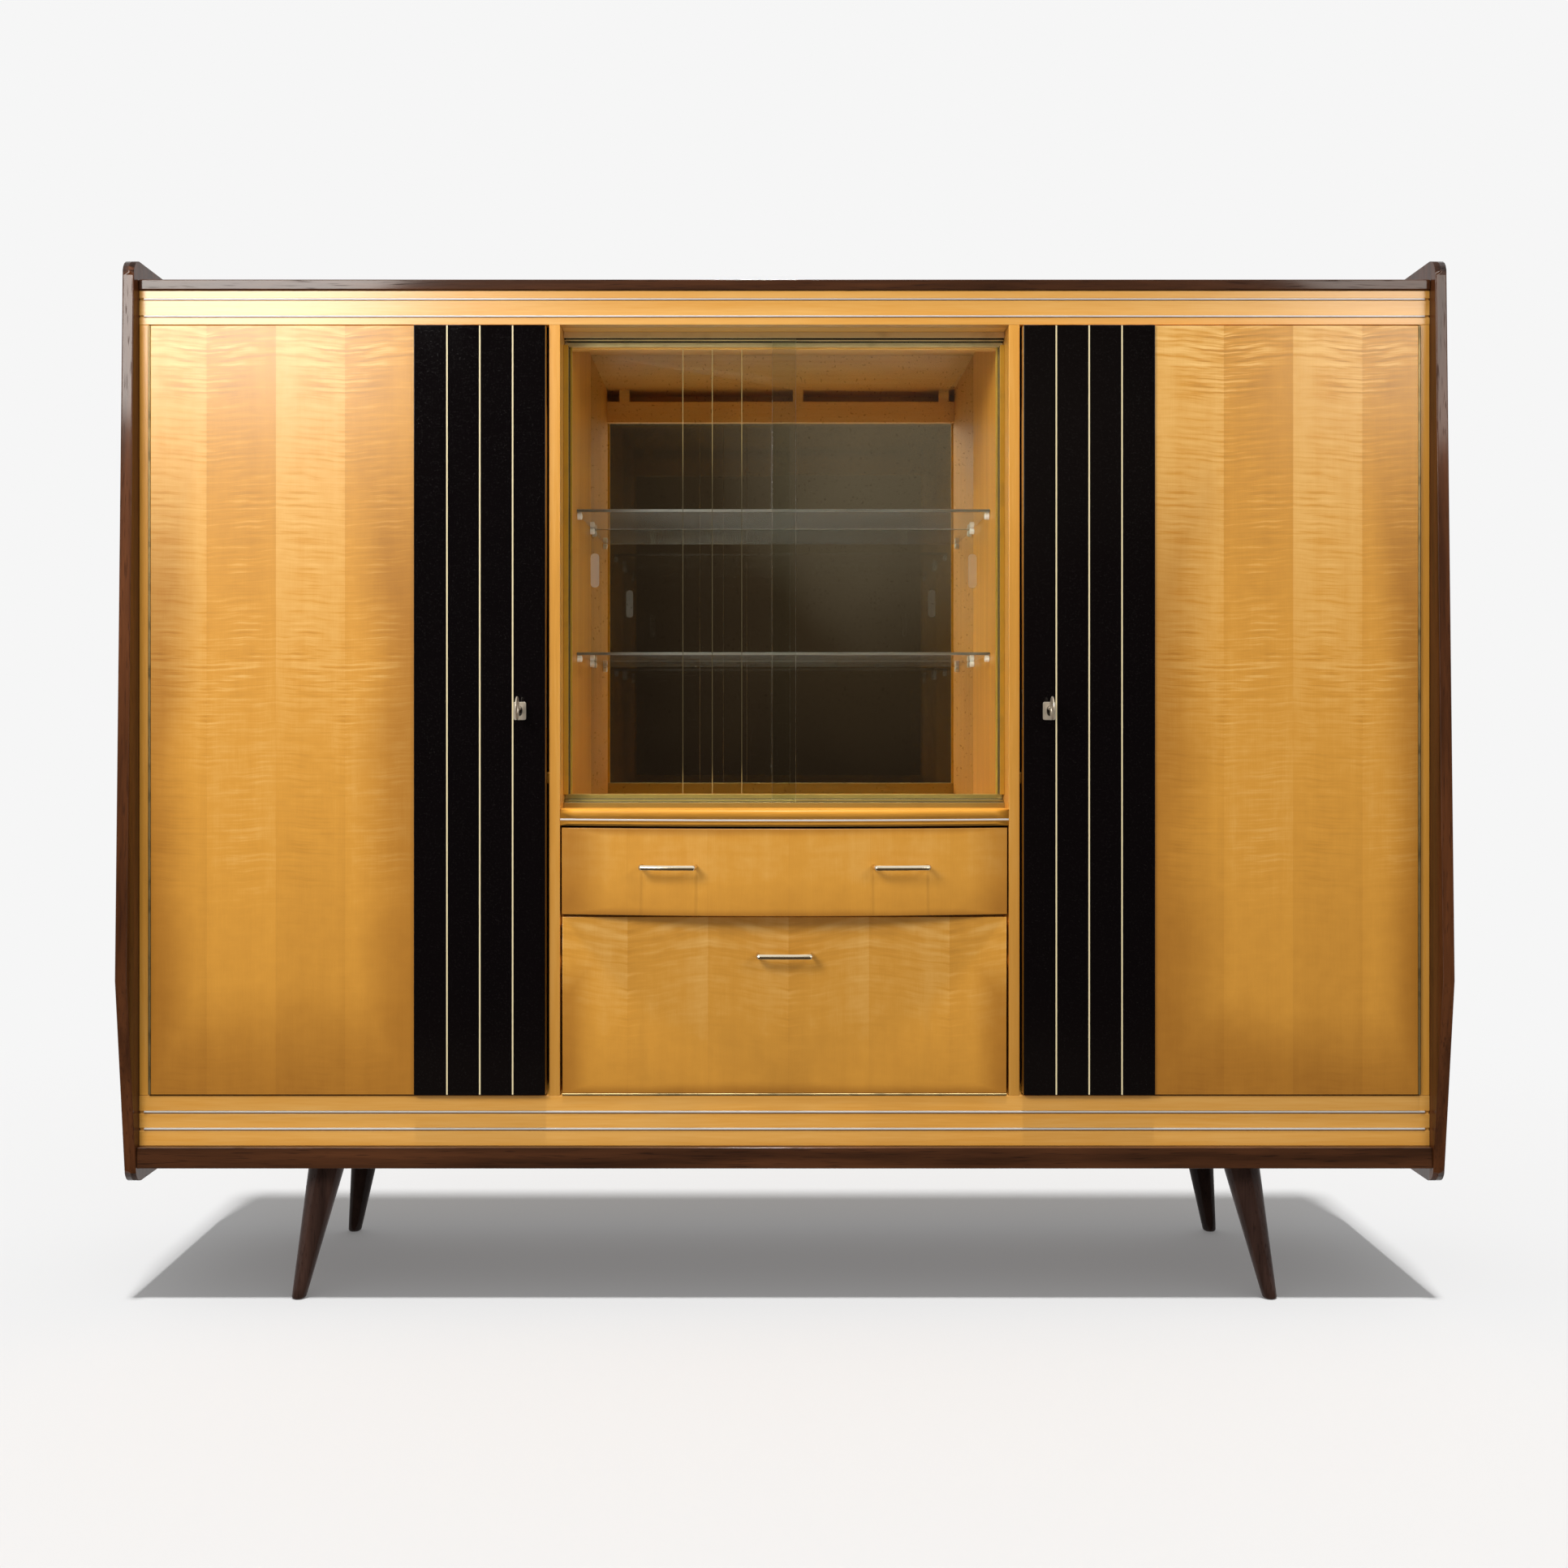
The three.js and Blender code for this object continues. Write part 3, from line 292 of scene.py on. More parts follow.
class Tree:
    def __init__(self, tree):
        self.tree = tree
        self.tree.nodes.clear()

    def node(self, kind, settings=None, inputs=None):
        made = self.tree.nodes.new(kind)
        for key, value in (settings or {}).items():
            if key == "stops":
                self.stops(made.color_ramp, value)
            else:
                setattr(made, key, value)
        for key, value in (inputs or {}).items():
            self.plug(made.inputs[key], value)
        return made

    def stops(self, ramp, stops):
        for i, (place, value) in enumerate(stops):
            stop = ramp.elements[i] if i < len(ramp.elements) else ramp.elements.new(place)
            stop.position = place
            stop.color = (*value, 1)

    def plug(self, socket, value):
        if isinstance(value, Wire):
            self.tree.links.new(value.socket, socket)
        elif isinstance(value, bpy.types.NodeSocket):
            self.tree.links.new(value, socket)
        elif socket.type == "RGBA":
            socket.default_value = (*value[:3], 1)
        else:
            socket.default_value = value


class Finish(Tree):
    """A material made of nodes on Object coordinates."""

    def __init__(self, name):
        self.material = bpy.data.materials.new(name)
        self.material.use_nodes = True
        super().__init__(self.material.node_tree)
        self.output = self.node("ShaderNodeOutputMaterial")

    def place(self):
        coordinates = self.node("ShaderNodeTexCoord").outputs["Object"]
        split = self.node("ShaderNodeSeparateXYZ", None, {0: coordinates})
        return [Wire(self, socket) for socket in split.outputs]

    def vector(self, x, y, z):
        return self.node("ShaderNodeCombineXYZ", None, {0: x, 1: y, 2: z}).outputs[0]

    def noise(self, x, y, z, detail=2.0, roughness=0.5):
        made = self.node(
            "ShaderNodeTexNoise", None,
            {"Vector": self.vector(x, y, z), "Scale": 1.0, "Detail": detail, "Roughness": roughness},
        )
        return Wire(self, made.outputs["Fac"])

    def ramp(self, factor, *stops):
        return self.node("ShaderNodeValToRGB", {"stops": stops}, {0: factor}).outputs["Color"]

    def tinted(self, factor, first, second, blend="MIX"):
        made = self.node(
            "ShaderNodeMix", {"data_type": "RGBA", "blend_type": blend},
            {0: factor, 6: first, 7: second},
        )
        return made.outputs[2]

    def bump(self, height, distance, strength=1.0):
        made = self.node(
            "ShaderNodeBump", None,
            {"Height": height, "Distance": distance, "Strength": strength},
        )
        return made.outputs["Normal"]

    def shine(self, **inputs):
        named = {key.replace("_", " "): value for key, value in inputs.items()}
        return self.node("ShaderNodeBsdfPrincipled", None, named).outputs[0]

    def done(self, shader):
        self.tree.links.new(shader, self.output.inputs["Surface"])
        return self.material


finishes = {}


def finish(name, make, *values):
    """Each finish is made once, when a piece first asks for it."""
    if name not in finishes:
        finishes[name] = make(name, *values)
    return finishes[name]


# Wood

LACQUER = {"Coat_Weight": 0.7, "Coat_Roughness": 0.24, "Coat_IOR": 1.5}


def lacquer_ripple(f, x, y, z):
    """The faint waviness of a thick lacquer."""
    return f.bump(f.noise(x * 22, y * 22, z * 22, 1.0), 0.0005, 0.25)


def rim_shade(f, x, z, low, high, reach, weights):
    """Mask of the painted rim shade: 0 at the rim of a panel, 1 further in than reach; a heavy side
    shades less far.
    """
    left, right, bottom, top = weights
    beside = ((x - low[0]) * left).math("MINIMUM", (high[0] - x) * right)
    above = ((z - low[2]) * bottom).math("MINIMUM", (high[2] - z) * top)
    drift = f.noise(x * 3.5, 0.0, z * 3.5) * reach
    return (beside.math("MINIMUM", above) + drift - reach / 2).fit(0.0, reach)


def figured_maple(name, start, width, region, figure, sides):
    """Veneer strips side by side, each the mirror image of its neighbour, with a curly figure.

    figure has the waves per metre, the drop of a wave from joint to joint, the strength of the
    waves at foot and head of the panel, the contrast of every other strip as a painted sheen, the
    painted sheen towards the right edge of each strip, and reach and upper end of the painted
    dark rim of shade that sides weighs.
    """
    waves, contrast = figure["waves"], figure["contrast"]
    f = Finish(name)
    x, y, z = f.place()
    tones = colours()
    low, high = region
    rise = (z - low[2]) / (high[2] - low[2])
    strip = (x - start) / width
    dark = strip.math("FLOOR").math("PINGPONG", 1.0)
    share = strip.math("PINGPONG", 1.0)
    fold = share * width
    drift = f.noise(fold * 14, 0.0, z * 9) * 0.010
    slope = z + share * figure["drop"] + drift
    curl = f.noise(fold * 10, 0.0, slope * waves, 2.0, 0.6)
    flame = f.noise(fold * 9, 5.0, slope * waves * 0.5, 2.0)
    crown = z.fit(high[2] - 0.10, high[2] - 0.03)
    zone = f.noise(fold * 6, 7.0, z * 3.6, 1.0).fit(0.36, 0.62)
    height = rise.fit(0.15, 0.75) * (figure["head"] - figure["foot"]) + figure["foot"]
    strength = (zone * 0.75 + 0.25) * (share * 0.75 + 0.25) * height
    bright = curl.fit(0.48, 0.70) * 0.34 * (dark * 0.45 + 0.55)
    deep = curl.fit(0.50, 0.30) * 0.34 * (1 - dark * 0.5)
    flames = (flame - 0.5) * crown * figure["head"] * 0.55
    fibre = f.noise(x * 900, y * 90, z * 30, 1.0)
    heart = f.noise(fold * 34, 1.0, z * 0.9, 2.0)
    mottle = f.noise(x * 38, 2.0, z * 44, 2.0)
    # Painted sheen: the light strips grow paler and fade across their width, the dark ones darker, more
    # so towards the head of the panel
    strip_sheen_contrast = (rise.fit(0.30, 0.85) - 0.22) * contrast
    # Painted light: the level rises towards the head of the panel and each strip grows lighter towards
    # its right edge; curl, flames, fibre, heart and mottle are the wood's own figure
    level = (
        0.36 + rise.fit(0.0, 0.55) * 0.17 - dark * strip_sheen_contrast + (1 - dark) * strip_sheen_contrast * (1.2 - share * 0.4)
        + (strip.math("FRACT") - 0.5) * rise * figure["sheen"]
        + (bright - deep) * strength + flames
        + (fibre - 0.5) * 0.08 + (heart - 0.5) * 0.16 + (mottle - 0.5) * 0.16
    )
    wood = f.ramp(
        level, (0.0, tones.maple_deep), (0.5, tones.maple_mid), (1.0, tones.maple_light)
    )
    # Painted shade: the veneer darkens towards the rims and from the foot of the panel, and the shade
    # clears towards its head
    rim = rim_shade(f, x, z, low, high, figure["reach"], sides)
    rim = rim.math("MAXIMUM", rise.fit(figure["rim_end"], figure["rim_end"] + 0.3))
    rim_shaded = f.tinted(rim, f.tinted(1.0, wood, (0.67, 0.60, 0.42), "MULTIPLY"), wood)
    seam = (share - 0.5).math("ABSOLUTE").fit(0.5, 0.496) * 0.2 + 0.8
    joined = f.tinted(seam, f.tinted(1.0, rim_shaded, (0.72, 0.6, 0.42), "MULTIPLY"), rim_shaded)
    rough = 0.44 + (curl - 0.5) * 0.10
    shader = f.shine(
        Base_Color=joined, Roughness=rough, Normal=lacquer_ripple(f, x, y, z),
        Specular_IOR_Level=0.3, **LACQUER
    )
    return f.done(shader)


GRAIN = {"x": (1.6, 34, 34), "y": (34, 1.6, 34), "z": (34, 34, 1.6)}


def plain_maple(name, along, gloss=1.0, shade=0.0):
    """Straight-grained maple, its grain along one axis."""
    f = Finish(name)
    x, y, z = f.place()
    tones = colours()
    a, b, c = GRAIN[along]
    streak = f.noise(x * a, y * b, z * c, 3.0, 0.6)
    fine = f.noise(x * a * 9, y * b * 9, z * c * 9, 2.0)
    cloud = f.noise(x * 4, y * 4, z * 4, 1.0)
    level = 0.50 - shade + (streak - 0.5) * 0.42 + (fine - 0.5) * 0.22 + (cloud - 0.5) * 0.2
    wood = f.ramp(
        level, (0.0, tones.maple_deep), (0.5, tones.maple_plain), (1.0, tones.maple_light)
    )
    shader = f.shine(
        Base_Color=wood, Roughness=0.42 + (fine - 0.5) * 0.12,
        Normal=lacquer_ripple(f, x, y, z),
        Coat_Weight=LACQUER["Coat_Weight"] * gloss, Coat_Roughness=LACQUER["Coat_Roughness"],
        Specular_IOR_Level=0.3 * gloss,
    )
    return f.done(shader)


def dark_wood(name, along, deep, light, gloss):
    """Walnut or stained beech: long streaks and dark pores under a gloss that pores break."""
    f = Finish(name)
    x, y, z = f.place()
    a, b, c = GRAIN[along]
    wander = f.noise(x * 2.5, y * 2.5, z * 2.5) * 0.03
    streak = f.noise((x + wander) * a * 1.4, (y + wander) * b * 1.4, (z + wander) * c * 1.4, 4.0, 0.6)
    pores = f.noise(x * a * 12, y * b * 22, z * c * 12, 1.0).fit(0.58, 0.72)
    glow = f.noise(x * 3, y * 3, z * 1.5, 1.0)
    level = 0.45 + (streak - 0.5) * 1.6 + (glow - 0.5) * 0.5
    wood = f.ramp(level, (0.0, deep), (1.0, light))
    pored = f.tinted(pores * 0.55, wood, deep)
    shader = f.shine(
        Base_Color=pored, Roughness=0.40 + pores * 0.15 + (streak - 0.5) * 0.10,
        Normal=f.bump(1 - pores, 0.0002, 0.5), Specular_IOR_Level=0.1 * gloss,
        Coat_Weight=(1 - pores * 0.7) * gloss, Coat_Roughness=0.11,
    )
    return f.done(shader)


def plywood(name):
    f = Finish(name)
    x, y, z = f.place()
    tones = colours()
    streak = f.noise(x * 30, y * 30, z * 1.2, 4.0, 0.65)
    bands = f.noise(x * 6, 0.0, z * 0.7, 2.0)
    level = 0.45 + (streak - 0.5) * 1.1 + (bands - 0.5) * 0.9
    wood = f.ramp(level, (0.0, tones.ply_deep), (1.0, tones.ply_light))
    shader = f.shine(Base_Color=wood, Roughness=0.62, Normal=f.bump(streak, 0.0004, 0.6))
    return f.done(shader)


# Glass, mirror, metal and plastic

def black_glass(name):
    f = Finish(name)
    x, y, z = f.place()
    smear = f.noise(x * 9, y * 9, z * 2.5, 3.0).fit(0.45, 0.75)
    dust_and_fin_shade = f.noise(x * 900, y * 900, z * 900, 0.0).fit(0.74, 0.80)
    body = f.tinted(dust_and_fin_shade * 0.35, colours().black, (0.05, 0.045, 0.04))
    shader = f.shine(Base_Color=body, Roughness=0.035 + smear * 0.05 + dust_and_fin_shade * 0.3, IOR=1.5,
                     Specular_IOR_Level=0.3)
    return f.done(shader)


def clear_glass(name, tint, roughness, clearness=1.0):
    """Glass that lets the lamps through to what stands behind it."""
    f = Finish(name)
    x, y, z = f.place()
    smear = f.noise(x * 14, y * 14, z * 5, 3.0).fit(0.5, 0.8)
    glass = f.shine(
        Base_Color=tint, Roughness=smear * 0.02 + roughness, IOR=1.5, Transmission_Weight=clearness
    )
    window = f.node("ShaderNodeBsdfTransparent", None, {"Color": tint}).outputs[0]
    lamp_ray = f.node("ShaderNodeLightPath").outputs["Is Shadow Ray"]
    mixed = f.node("ShaderNodeMixShader", None, {0: lamp_ray, 1: glass, 2: window})
    return f.done(mixed.outputs[0])


def mirror_glass(name):
    f = Finish(name)
    x, y, z = f.place()
    tarnish = f.noise(x * 5, y * 5, z * 5, 4.0, 0.6).fit(0.55, 0.9)
    specks = f.noise(x * 260, y * 260, z * 260, 0.0).fit(0.73, 0.78)
    silver = f.tinted(tarnish * 0.2 + specks * 0.5, colours().mirror, (0.35, 0.30, 0.22))
    shader = f.shine(Base_Color=silver, Roughness=0.012 + tarnish * 0.05, Metallic=1.0)
    return f.done(shader)


def metal(name, tone, roughness, tarnish_tone, tarnish=0.35, metallic=1.0):
    """Plated or drawn metal with a little tarnish; a dull skin makes it less metallic."""
    f = Finish(name)
    x, y, z = f.place()
    patches = f.noise(x * 28, y * 28, z * 28, 3.0).fit(0.45, 0.8)
    body = f.tinted(patches * tarnish, tone, tarnish_tone)
    shader = f.shine(Base_Color=body, Metallic=metallic, Roughness=patches * 0.12 + roughness)
    return f.done(shader)


def strip_metal(name, low, high, shade_tone):
    """A bright strip in the groove that holds it, with painted shade on its lower part."""
    f = Finish(name)
    x, y, z = f.place()
    # Painted shade: below this share of its height the strip takes the dark shade tone
    unshaded_part = ((z - low) / (high - low)).fit(0.38, 0.48)
    wear = f.noise(x * 60, y * 60, z * 60, 2.0).fit(0.5, 0.8)
    tone = f.tinted(unshaded_part, shade_tone, f.tinted(wear * 0.25, colours().aluminium, (0.6, 0.56, 0.5)))
    shader = f.shine(Base_Color=tone, Metallic=unshaded_part * 0.35, Roughness=0.42 + wear * 0.1)
    return f.done(shader)


def plastic(name, tone):
    f = Finish(name)
    x, y, z = f.place()
    grime = f.noise(x * 120, y * 120, z * 120, 2.0).fit(0.5, 0.8)
    body = f.tinted(grime * 0.3, tone, [part * 0.7 for part in tone])
    shader = f.shine(Base_Color=body, Roughness=0.35 + grime * 0.1, Subsurface_Weight=0.08)
    return f.done(shader)


def walnut(axis):
    """The case's walnut: flat boards along X, side panels along Z."""
    tones = colours()
    if axis == "x":
        return finish("walnut_x", dark_wood, "x", tones.walnut_deep, tones.walnut_light, 0.6)
    return finish("walnut_z", dark_wood, "z", tones.panel_deep, tones.panel_light, 0.55)


def maple_along(axis, gloss=1.0, shade=0.0):
    name = f"maple_{axis}_{round(gloss * 10)}_{round(shade * 100)}"
    return finish(name, plain_maple, axis, gloss, shade)


def brass():
    return finish("brass", metal, colours().brass, 0.3, (0.52, 0.36, 0.08), 0.15, 0.55)


# Fins of tracks and channels from the front: where each stands and the tip of the fin before it
FIN_STARTS = (0.0095, 0.0195)
FIN_TIPS = {"lower": (0.0087, 0.0133), "upper": (0.0097, 0.0126), "side": (0.0077, 0.0077)}
# Painted light: the upper track, in shade under the fascia, gets a paler brass and the lower track, lit
# from above, a darker one
FIN_LIGHT_TONES = {"lower": (0.42, 0.30, 0.08), "upper": (0.92, 0.72, 0.36), "side": (0.70, 0.42, 0.05)}
# Height of the painted shade on a fin's face above the tip of the fin before it
FIN_SHADE_LINE = 0.0016


def grooved_brass(name, place, low, high):
    """Drawn brass of a track or channel, with painted shade where a fin stands behind another and a tone
    painted lighter or darker for the light on each track.
    """
    f = Finish(name)
    x, y, z = f.place()
    rise = {"lower": z - low.z, "upper": high.z - z, "side": high.x - x.math("ABSOLUTE")}[place]
    dust_and_fin_shade = 0.0
    # Painted shade on each fin's face just above the tip of the fin before it
    for start, tip in zip(FIN_STARTS, FIN_TIPS[place]):
        face = (y - low.y - start).math("ABSOLUTE").fit(0.001, 0.0008)
        line = face * rise.fit(tip + FIN_SHADE_LINE, tip + FIN_SHADE_LINE * 0.7)
        dust_and_fin_shade = line.math("MAXIMUM", dust_and_fin_shade)
    stain = f.noise(x * 28, y * 28, z * 28, 3.0).fit(0.45, 0.8)
    # The brass tone carries the painted light of each track
    lit_brass_tone = f.tinted(stain * 0.3, FIN_LIGHT_TONES[place], (0.30, 0.20, 0.05))
    tone = f.tinted(dust_and_fin_shade, lit_brass_tone, (0.020, 0.012, 0.004))
    shader = f.shine(Base_Color=tone, Metallic=(1 - dust_and_fin_shade) * 0.55, Roughness=0.3 + dust_and_fin_shade * 0.3)
    return f.done(shader)


def track_brass(node, place):
    return finish(place + "_brass", grooved_brass, place, *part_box(node))


def old_brass():
    return finish("old_brass", metal, colours().old_brass, 0.42, (0.08, 0.06, 0.03), 0.85, 0.8)


def nickel():
    return finish("nickel", metal, colours().nickel, 0.13, (0.40, 0.33, 0.22), 0.4)


SATIN = (0.60, 0.53, 0.43)
SATIN_SHADE = (0.36, 0.29, 0.18)


def satin_nickel():
    return finish("satin_nickel", metal, SATIN, 0.3, SATIN_SHADE, 0.5, 0.6)


def lock_plate(name, key_x, key_z):
    """Satin metal with painted shade in an ellipse round the key, where the keyhole lies."""
    f = Finish(name)
    x, y, z = f.place()
    s = sizes()
    across = (x - key_x) / s.keyhole_width
    up = (z - key_z + s.keyhole_height * 0.25) / s.keyhole_height
    # Painted shade: a dark ellipse round the key stands for the keyhole's recess in shade
    outside_keyhole_shade = (across * across + up * up).math("SQRT").fit(0.45, 0.55)
    patches = f.noise(x * 90, y * 90, z * 90, 3.0).fit(0.45, 0.8)
    body = f.tinted(patches * 0.5, SATIN, SATIN_SHADE)
    shader = f.shine(
        Base_Color=f.tinted(outside_keyhole_shade, (0.012, 0.008, 0.005), body), Metallic=outside_keyhole_shade * 0.6,
        Roughness=patches * 0.12 + 0.3,
    )
    return f.done(shader)


def steel():
    return finish("steel", metal, colours().steel, 0.3, (0.2, 0.17, 0.14), 0.5)


def let_in(node, shade_tone):
    low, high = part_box(node)
    return finish(node + "_metal", strip_metal, low.z, high.z, shade_tone)


def gold():
    return finish("gold_line", plastic, colours().gold)


# Where the lines of the pane turn from painted highlight to painted shade, as shares of their height
# from its upper and lower end
LINE_HEAD = (0.34, 0.2)
LINE_FOOT = (0.1, 0.04)
LINE_SHADE = 0.22


def line_gold(name, low, high):
    """Gold paint on glass, with a painted highlight towards its ends and painted shade between them."""
    f = Finish(name)
    x, y, z = f.place()
    height = high - low
    above = z.fit(*[high - height * share for share in LINE_HEAD])
    below = z.fit(*[low + height * share for share in LINE_FOOT])
    bright = colours().pane_gold
    shaded_gold = [part * LINE_SHADE for part in bright]
    tone = f.tinted(above.math("MAXIMUM", below), shaded_gold, bright)
    return f.done(f.shine(Base_Color=tone, Roughness=0.4))


def clear():
    return finish("clear_glass", clear_glass, colours().glass, 0.0)


def shelf_glass():
    return finish("shelf_glass", clear_glass, colours().glass, 0.0, 0.84)


def clear_edge():
    return finish("clear_glass_edge", clear_glass, colours().glass_edge, 0.3, 0.8)


def shelf_edge():
    return finish("shelf_edge", clear_glass, (0.36, 0.32, 0.25), 0.4, 0.93)


def frosted():
    return finish("ground_glass", clear_glass, colours().glass, 0.32, 0.94)


# Geometry Nodes: each tree is built once and its result is turned into a plain mesh

class Growth(Tree):
    """A geometry tree with named inputs."""

    SOCKETS = {float: "NodeSocketFloat", int: "NodeSocketInt", Vector: "NodeSocketVector"}

    def __init__(self, name, inputs, on_points=False):
        super().__init__(bpy.data.node_groups.new(name, "GeometryNodeTree"))
        if on_points:
            self.tree.interface.new_socket(
                "Points", in_out="INPUT", socket_type="NodeSocketGeometry"
            )
        for key, value in inputs.items():
            socket = self.tree.interface.new_socket(
                key, in_out="INPUT", socket_type=self.SOCKETS[type(value)]
            )
            socket.default_value = value
        self.tree.interface.new_socket("Finish", in_out="INPUT", socket_type="NodeSocketMaterial")
        self.tree.interface.new_socket("Mesh", in_out="OUTPUT", socket_type="NodeSocketGeometry")
        self.inputs = self.node("NodeGroupInput")

    def value(self, name):
        return Wire(self, self.inputs.outputs[name])

    def along(self, x=0.0, y=0.0, z=0.0):
        return self.node("ShaderNodeCombineXYZ", None, {0: x, 1: y, 2: z}).outputs[0]

    def box(self, x, y, z):
        made = self.node("GeometryNodeMeshCube", None, {"Size": self.along(x, y, z)})
        return made.outputs["Mesh"]

    def rod(self, radius, depth, sides):
        made = self.node(
            "GeometryNodeMeshCylinder", None, {"Vertices": sides, "Radius": radius, "Depth": depth}
        )
        return made.outputs["Mesh"]

    def moved(self, mesh, shift, turn=(0.0, 0.0, 0.0)):
        made = self.node(
            "GeometryNodeTransform", None,
            {"Geometry": mesh, "Translation": shift, "Rotation": turn},
        )
        return made.outputs["Geometry"]

    def row(self, count, start, step):
        made = self.node(
            "GeometryNodeMeshLine", None, {"Count": count, "Start Location": start, "Offset": step}
        )
        return made.outputs["Mesh"]

    def copies(self, points, shape):
        made = self.node(
            "GeometryNodeInstanceOnPoints", None, {"Points": points, "Instance": shape}
        )
        return made.outputs["Instances"]

    def joined(self, *parts):
        made = self.node("GeometryNodeJoinGeometry")
        for part in parts:
            self.tree.links.new(part, made.inputs[0])
        return made.outputs[0]

    def without(self, mesh, tool):
        made = self.node("GeometryNodeMeshBoolean", {"operation": "DIFFERENCE"})
        self.tree.links.new(mesh, made.inputs["Mesh 1"])
        self.tree.links.new(tool, made.inputs["Mesh 2"])
        return made.outputs["Mesh"]

    def done(self, parts):
        real = self.node("GeometryNodeRealizeInstances", None, {0: parts}).outputs[0]
        coated = self.node(
            "GeometryNodeSetMaterial", None, {"Geometry": real, "Material": self.value("Finish")}
        )
        output = self.node("NodeGroupOutput")
        self.tree.links.new(coated.outputs[0], output.inputs[0])
        return self.tree


def grown(name, tree, values, material, body, nodes=(), places=None):
    """Runs a geometry tree and keeps its result as a plain mesh on a body."""
    start = bpy.data.meshes.new(name)
    if places:
        start.from_pydata(places, [], [])
    carrier = bpy.data.objects.new(name, start)
    bpy.context.scene.collection.objects.link(carrier)
    modifier = carrier.modifiers.new(name, "NODES")
    modifier.node_group = tree
    values = {**values, "Finish": material}
    for item in tree.interface.items_tree:
        if item.in_out == "INPUT" and item.name in values:
            modifier[item.identifier] = values[item.name]
    graph = bpy.context.evaluated_depsgraph_get()
    mesh = bpy.data.meshes.new_from_object(carrier.evaluated_get(graph), depsgraph=graph)
    bpy.data.objects.remove(carrier)
    mesh.set_sharp_from_angle(angle=CORNER)
    piece = piece_of(name, mesh, body, material, nodes)
    return piece


def screw_head(g, radius):
    """A countersunk head with its slot, its face towards +Z at Z = 0."""
    head = g.rod(radius, radius * 0.36, 20)
    slot = g.box(radius * 2.4, radius * 0.3, radius * 0.3)
    return g.without(head, g.moved(slot, g.along(z=radius * 0.2)))


def hinge_tree():
    """One leaf of a piano hinge along +Z: its plate, every other knuckle, the pin and the screws."""
    g = Growth("piano_hinge_leaf", {
        "Length": 1.0, "Knuckles": 10, "First": 0, "Radius": 0.0024, "Leaf": 0.001,
        "Width": 0.013, "Face": 0.0024, "Side": 1.0, "Gap": 0.0004, "Pin": 0.001,
        "Screws": 10, "Screw Radius": 0.0021,
        "Place": Vector((0, 0, 0)), "Turn": Vector((0, 0, 0)),
    })
    length_, count, radius = g.value("Length"), g.value("Knuckles"), g.value("Radius")
    side, leaf, width, face = (g.value(key) for key in ("Side", "Leaf", "Width", "Face"))
    pitch = length_ / count
    own = ((count - g.value("First")) / 2).math("CEIL")
    centres = g.row(own, g.along(z=(g.value("First") + 0.5) * pitch), g.along(z=pitch * 2))
    knuckle = g.rod(radius, pitch - g.value("Gap"), 20)
    plate_x = side * (face - leaf / 2)
    curl = g.moved(
        g.box(leaf, radius + leaf, pitch - g.value("Gap")), g.along(plate_x, (radius + leaf) / 2)
    )
    plate_depth = width - radius
    plate = g.moved(
        g.box(leaf, plate_depth, length_), g.along(plate_x, radius + plate_depth / 2, length_ / 2)
    )
    pin = g.moved(g.rod(g.value("Pin"), length_, 12), g.along(z=length_ / 2))
    screw_pitch = length_ / g.value("Screws")
    screws = g.row(
        g.value("Screws"),
        g.along(side * (face - leaf * 1.02), radius + plate_depth * 0.55, screw_pitch / 2),
        g.along(z=screw_pitch),
    )
    quarter = math.pi / 2
    head = g.moved(
        screw_head(g, g.value("Screw Radius")), (0.0, 0.0, 0.0), g.along(y=side * -quarter)
    )
    parts = g.joined(
        g.copies(centres, g.joined(knuckle, curl)), plate, pin, g.copies(screws, head)
    )
    real = g.node("GeometryNodeRealizeInstances", None, {0: parts}).outputs[0]
    return g.done(g.moved(real, g.value("Place"), g.value("Turn")))


def lines_tree():
    """Upright lines side by side, laid on glass."""
    g = Growth("gold_lines", {
        "Count": 3, "Pitch": 0.05, "Width": 0.003, "Thickness": 0.0006, "Height": 1.0,
        "Place": Vector((0, 0, 0)),
    })
    strip = g.moved(
        g.box(g.value("Width"), g.value("Thickness"), g.value("Height")),
        g.along(z=g.value("Height") / 2),
    )
    places = g.row(g.value("Count"), g.value("Place"), g.along(x=g.value("Pitch")))
    return g.done(g.copies(places, strip))


def heads_tree():
    """Round heads on the carrier's points: nails and pins, each lying along one axis."""
    g = Growth("heads", {
        "Radius": 0.003, "Reach": 0.002, "Sides": 16, "Turn": Vector((0, 0, 0)),
    }, on_points=True)
    radius, reach = g.value("Radius"), g.value("Reach")
    stem = g.rod(radius, reach, g.value("Sides"))
    cap = g.node(
        "GeometryNodeMeshUVSphere", None,
        {"Segments": g.value("Sides"), "Rings": 8, "Radius": radius},
    ).outputs["Mesh"]
    flat_cap = g.node(
        "GeometryNodeTransform", None,
        {"Geometry": cap, "Translation": g.along(z=reach / 2), "Scale": (1.0, 1.0, 0.3)},
    ).outputs["Geometry"]
    head = g.moved(g.joined(stem, flat_cap), (0.0, 0.0, 0.0), g.value("Turn"))
    spots = g.node("GeometryNodeMeshToPoints", None, {0: g.value("Points")}).outputs[0]
    return g.done(g.copies(spots, head))


trees = {}


def tree(make):
    if make not in trees:
        trees[make] = make()
    return trees[make]


# Meshes in code

